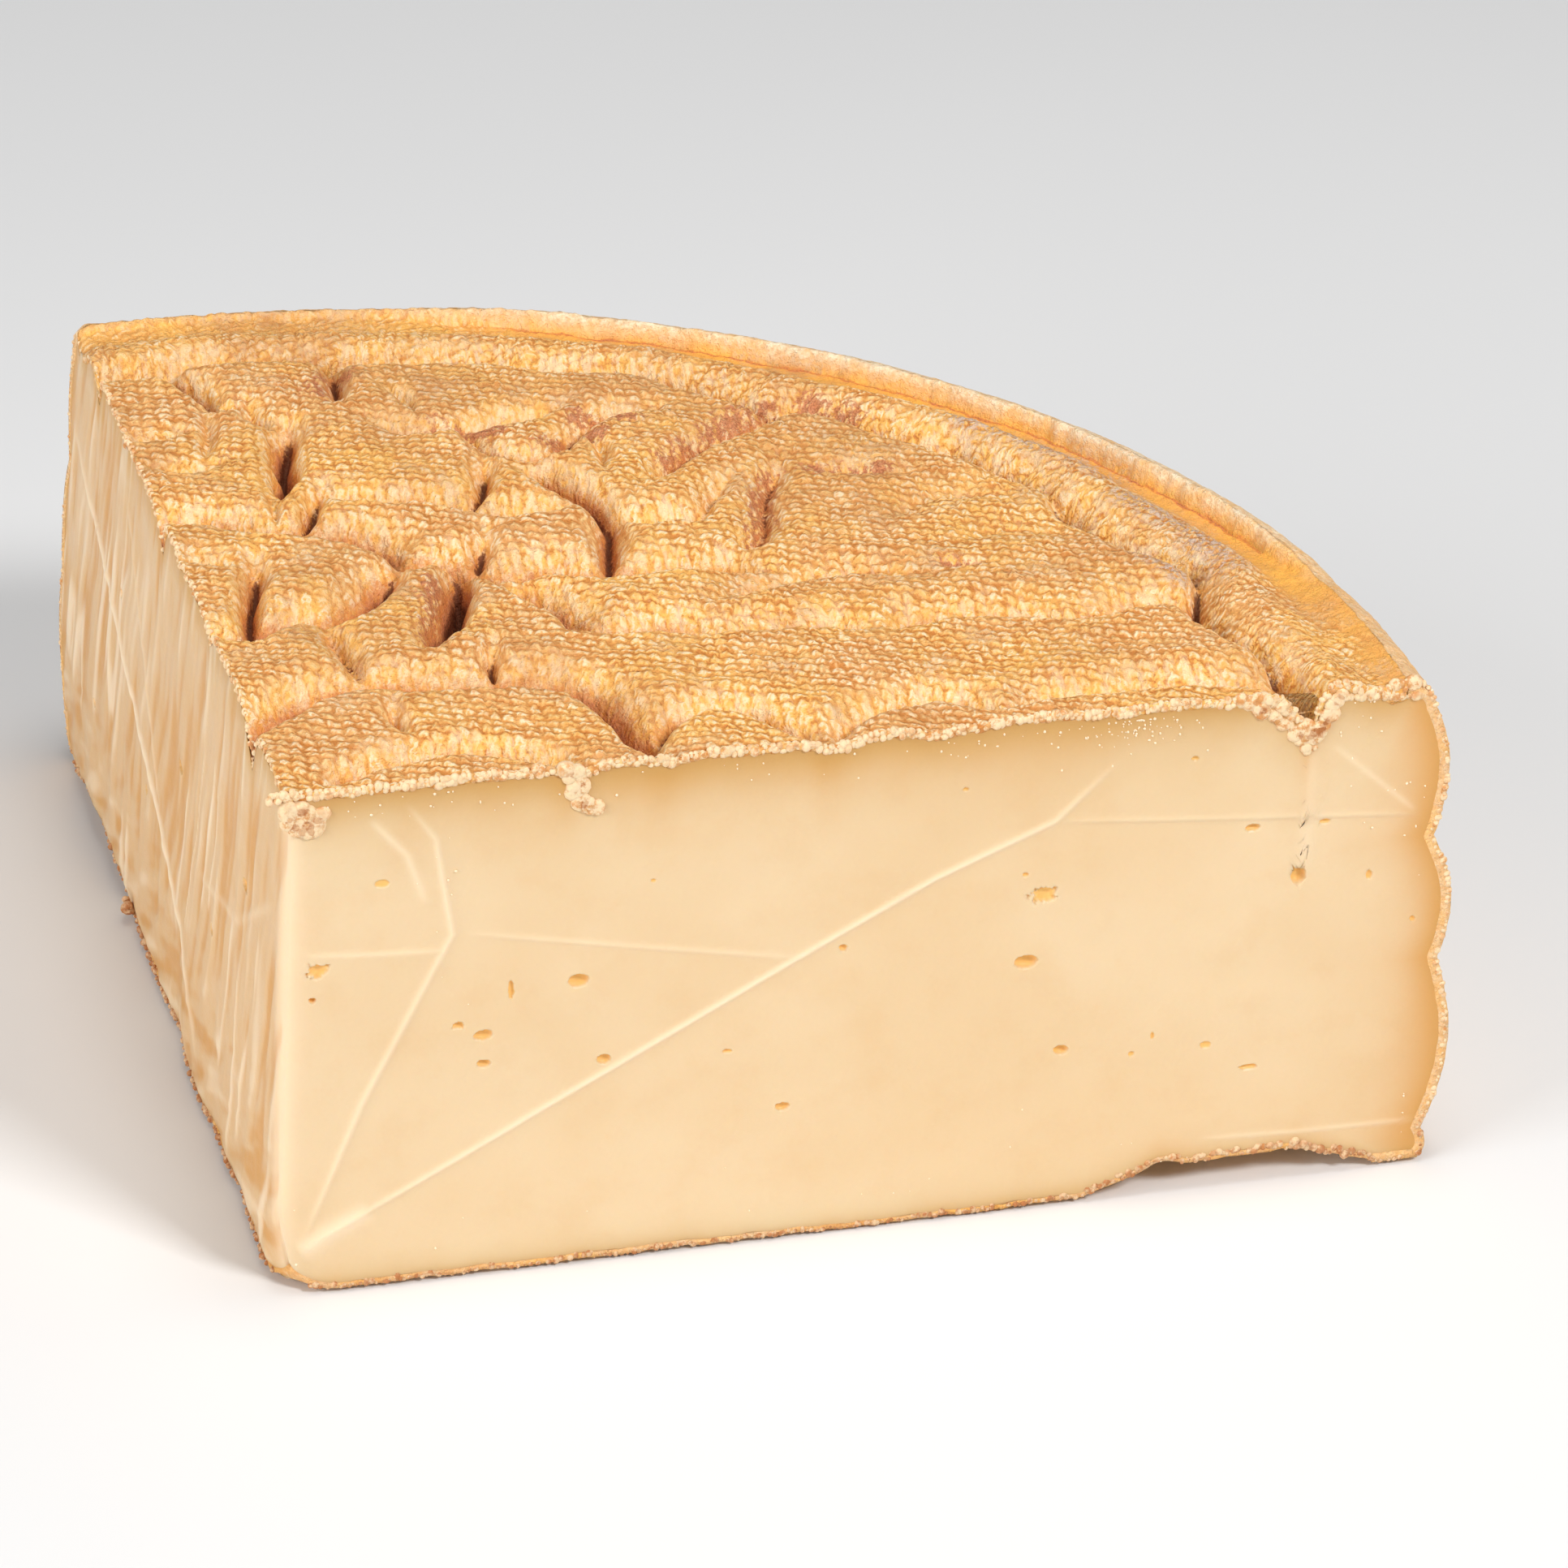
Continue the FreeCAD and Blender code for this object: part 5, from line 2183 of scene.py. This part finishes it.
@dataclass(frozen=True)
class PasteFinish:
    """Semi-hard paste: pale ivory, tanner and greyer towards the rind; the left cut is tanned as
    painted shade and the eyes are painted golden as bounced light.
    """

    name: str = "ivory_paste"
    ivory: Colour = (232, 204, 163)
    butter: Colour = (229, 198, 154)
    tan: Colour = (214, 156, 84)
    # painted light: eye hollows are painted warm golden, standing in for light bouncing inside
    # them
    eye: Colour = (250, 196, 104)
    pull: Colour = (250, 226, 192)

    def make(self) -> bpy.types.Material:
        """Return the material.

        Returns:
            The material.
        """
        n = Nodes(self.name)
        near, white, eye = n.tone("paste_tone")
        broad = n.noise(34.0, 2.0)
        middling = n.noise(7.0, 4.0, 0.6)
        fine = n.noise(0.7, 3.0, 0.6)
        base = n.mix(n.remap(broad, 0.35, 0.65), self.ivory, self.butter)
        base = n.mix(n.remap(middling, 0.45, 0.75, 0.0, 0.1), base, self.tan)
        # tan near the rind, and over the left cut a painted shade
        base = n.mix(n.remap(near, 0.0, 0.9, 0.0, 1.0), base, self.tan)
        base = n.mix(white, base, self.pull)
        # painted bounced light inside the eyes
        base = n.mix(n.remap(eye, 0.1, 0.9, 0.0, 0.85), base, self.eye)
        n.set(Base_Color=base, Roughness=n.remap(middling, 0.3, 0.7, 0.36, 0.52))
        n.set(Specular_IOR_Level=0.4, Subsurface_Weight=0.22, Subsurface_Scale=0.004,
              Subsurface_Radius=(1.0, 0.55, 0.25))
        grain = n.plus(n.times(fine, 0.5), middling)
        n.set(Normal=n.bump(grain, 0.12))
        return n.material


@dataclass(frozen=True)
class SpeckFinish:
    """Dried white specks."""

    name: str = "white_specks"
    white: Colour = (254, 240, 214)
    cream: Colour = (244, 220, 180)

    def make(self) -> bpy.types.Material:
        """Return the material.

        Returns:
            The material.
        """
        n = Nodes(self.name)
        tone = n.mix(n.noise(0.5, 2.0), self.white, self.cream)
        n.set(Base_Color=tone, Roughness=0.7)
        return n.material


# ---- the studio


@dataclass(frozen=True)
class Lamp:
    """A soft square lamp: where it hangs from the cheese's middle, size and power."""

    name: str
    place: tuple[float, float, float]
    size: float
    power: float


@dataclass
class Studio:
    """Pale floor, soft lamps and the camera."""

    bench: Bench
    bearing: float = -13.83
    elevation: float = 28.0
    roll: float = 0.62
    distance: float = 875.5
    target: tuple[float, float, float] = (90.6, 71.1, 34.2)
    lens: float = 133.6
    sensor: float = 36.0
    lamps: tuple[Lamp, ...] = (
        Lamp("key", (0.62, -1.05, 1.1), 0.35, 17.0),
        Lamp("fill", (-1.25, -0.5, 0.5), 0.9, 12.5),
        Lamp("above", (0.1, -0.1, 1.5), 0.5, 7.2),
    )
    sky: float = 0.24

    def build(self) -> None:
        """Set the stage."""
        self._camera()
        self._lamps()
        self._world()
        self._floor()

    def _camera(self) -> None:
        """Place the camera at the viewing angle."""
        az, el, tilt = (math.radians(a) for a in (self.bearing, self.elevation, self.roll))
        back = Vector((math.sin(az) * math.cos(el), -math.cos(az) * math.cos(el), math.sin(el)))
        right = Vector((0, 0, 1)).cross(back).normalized()
        up = back.cross(right)
        turned_right = right * math.cos(tilt) + up * math.sin(tilt)
        turned_up = up * math.cos(tilt) - right * math.sin(tilt)
        data = bpy.data.cameras.new("view")
        data.lens = self.lens
        data.sensor_width = self.sensor
        data.clip_end = 20.0
        camera = bpy.data.objects.new("view", data)
        bpy.context.scene.collection.objects.link(camera)
        place = self.bench.vector(*self.target) + back * self.distance * MM
        camera.matrix_world = matrix_from(turned_right, turned_up, back, place)
        bpy.context.scene.camera = camera

    def _lamps(self) -> None:
        """Hang the soft lamps round the cheese."""
        middle = (self.bench.low + self.bench.high) / 2
        for lamp in self.lamps:
            data = bpy.data.lights.new(lamp.name, "AREA")
            data.size = lamp.size
            data.energy = lamp.power
            item = bpy.data.objects.new(lamp.name, data)
            item.location = middle + Vector(lamp.place)
            item.rotation_euler = (-Vector(lamp.place)).to_track_quat("-Z", "Y").to_euler()
            bpy.context.scene.collection.objects.link(item)

    def _world(self) -> None:
        """Light everything softly, and show a pale background to the camera."""
        world = bpy.data.worlds.new("soft_sky")
        world.use_nodes = True
        tree = world.node_tree
        tree.nodes.clear()
        rays = tree.nodes.new("ShaderNodeLightPath")
        soft, shown = (tree.nodes.new("ShaderNodeBackground") for _ in range(2))
        soft.inputs["Strength"].default_value = self.sky
        shown.inputs["Color"].default_value = (0.93, 0.93, 0.93, 1.0)
        shown.inputs["Strength"].default_value = 1.0
        mix = tree.nodes.new("ShaderNodeMixShader")
        output = tree.nodes.new("ShaderNodeOutputWorld")
        tree.links.new(rays.outputs["Is Camera Ray"], mix.inputs[0])
        tree.links.new(soft.outputs[0], mix.inputs[1])
        tree.links.new(shown.outputs[0], mix.inputs[2])
        tree.links.new(mix.outputs[0], output.inputs["Surface"])
        bpy.context.scene.world = world
        bpy.context.scene.view_settings.view_transform = "Standard"

    def _floor(self) -> None:
        """Lay a wide pale floor."""
        work = bmesh.new()
        bmesh.ops.create_grid(work, x_segments=1, y_segments=1, size=4.0)
        bmesh.ops.translate(work, verts=work.verts, vec=(0.0, 0.0, self.bench.low.z - 0.0004))
        mesh = bpy.data.meshes.new("floor")
        work.to_mesh(mesh)
        work.free()
        floor = bpy.data.objects.new("floor", mesh)
        bpy.context.scene.collection.objects.link(floor)
        n = Nodes("pale_floor")
        n.set(Base_Color=n.mix(n.noise(300.0, 2.0), (0.80, 0.80, 0.80, 1), (0.83, 0.83, 0.83, 1)),
              Roughness=0.75)
        mesh.materials.append(n.material)


def matrix_from(right: Vector, up: Vector, back: Vector, place: Vector) -> Matrix:
    """Return the transform whose axes are right, up and back.

    Args:
        right: its X axis.
        up: its Y axis.
        back: its Z axis.
        place: where it stands.

    Returns:
        The transform.
    """
    turn = Matrix((right, up, back)).transposed().to_4x4()
    turn.translation = place
    return turn


def main() -> None:
    """Build the cheese and its stage."""
    logging.basicConfig(level=logging.INFO, format="%(name)s %(message)s")
    low, high = CAD_BOX
    bench = Bench(low.copy(), high.copy())
    wheel = Wheel()
    rind = RindFinish().make()
    FoldedTop(wheel, bench).build(rind)
    Rim(wheel, bench).build(rind)
    Underside(wheel, bench).build(rind)
    paste = Paste(wheel, bench).build(PasteFinish().make())
    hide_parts(NODE)
    Crust(wheel, bench).build(CrustFinish().make())
    Crumbs(bench).build(SpeckFinish().make())
    Studio(bench).build()


if __name__ == "__main__":
    main()
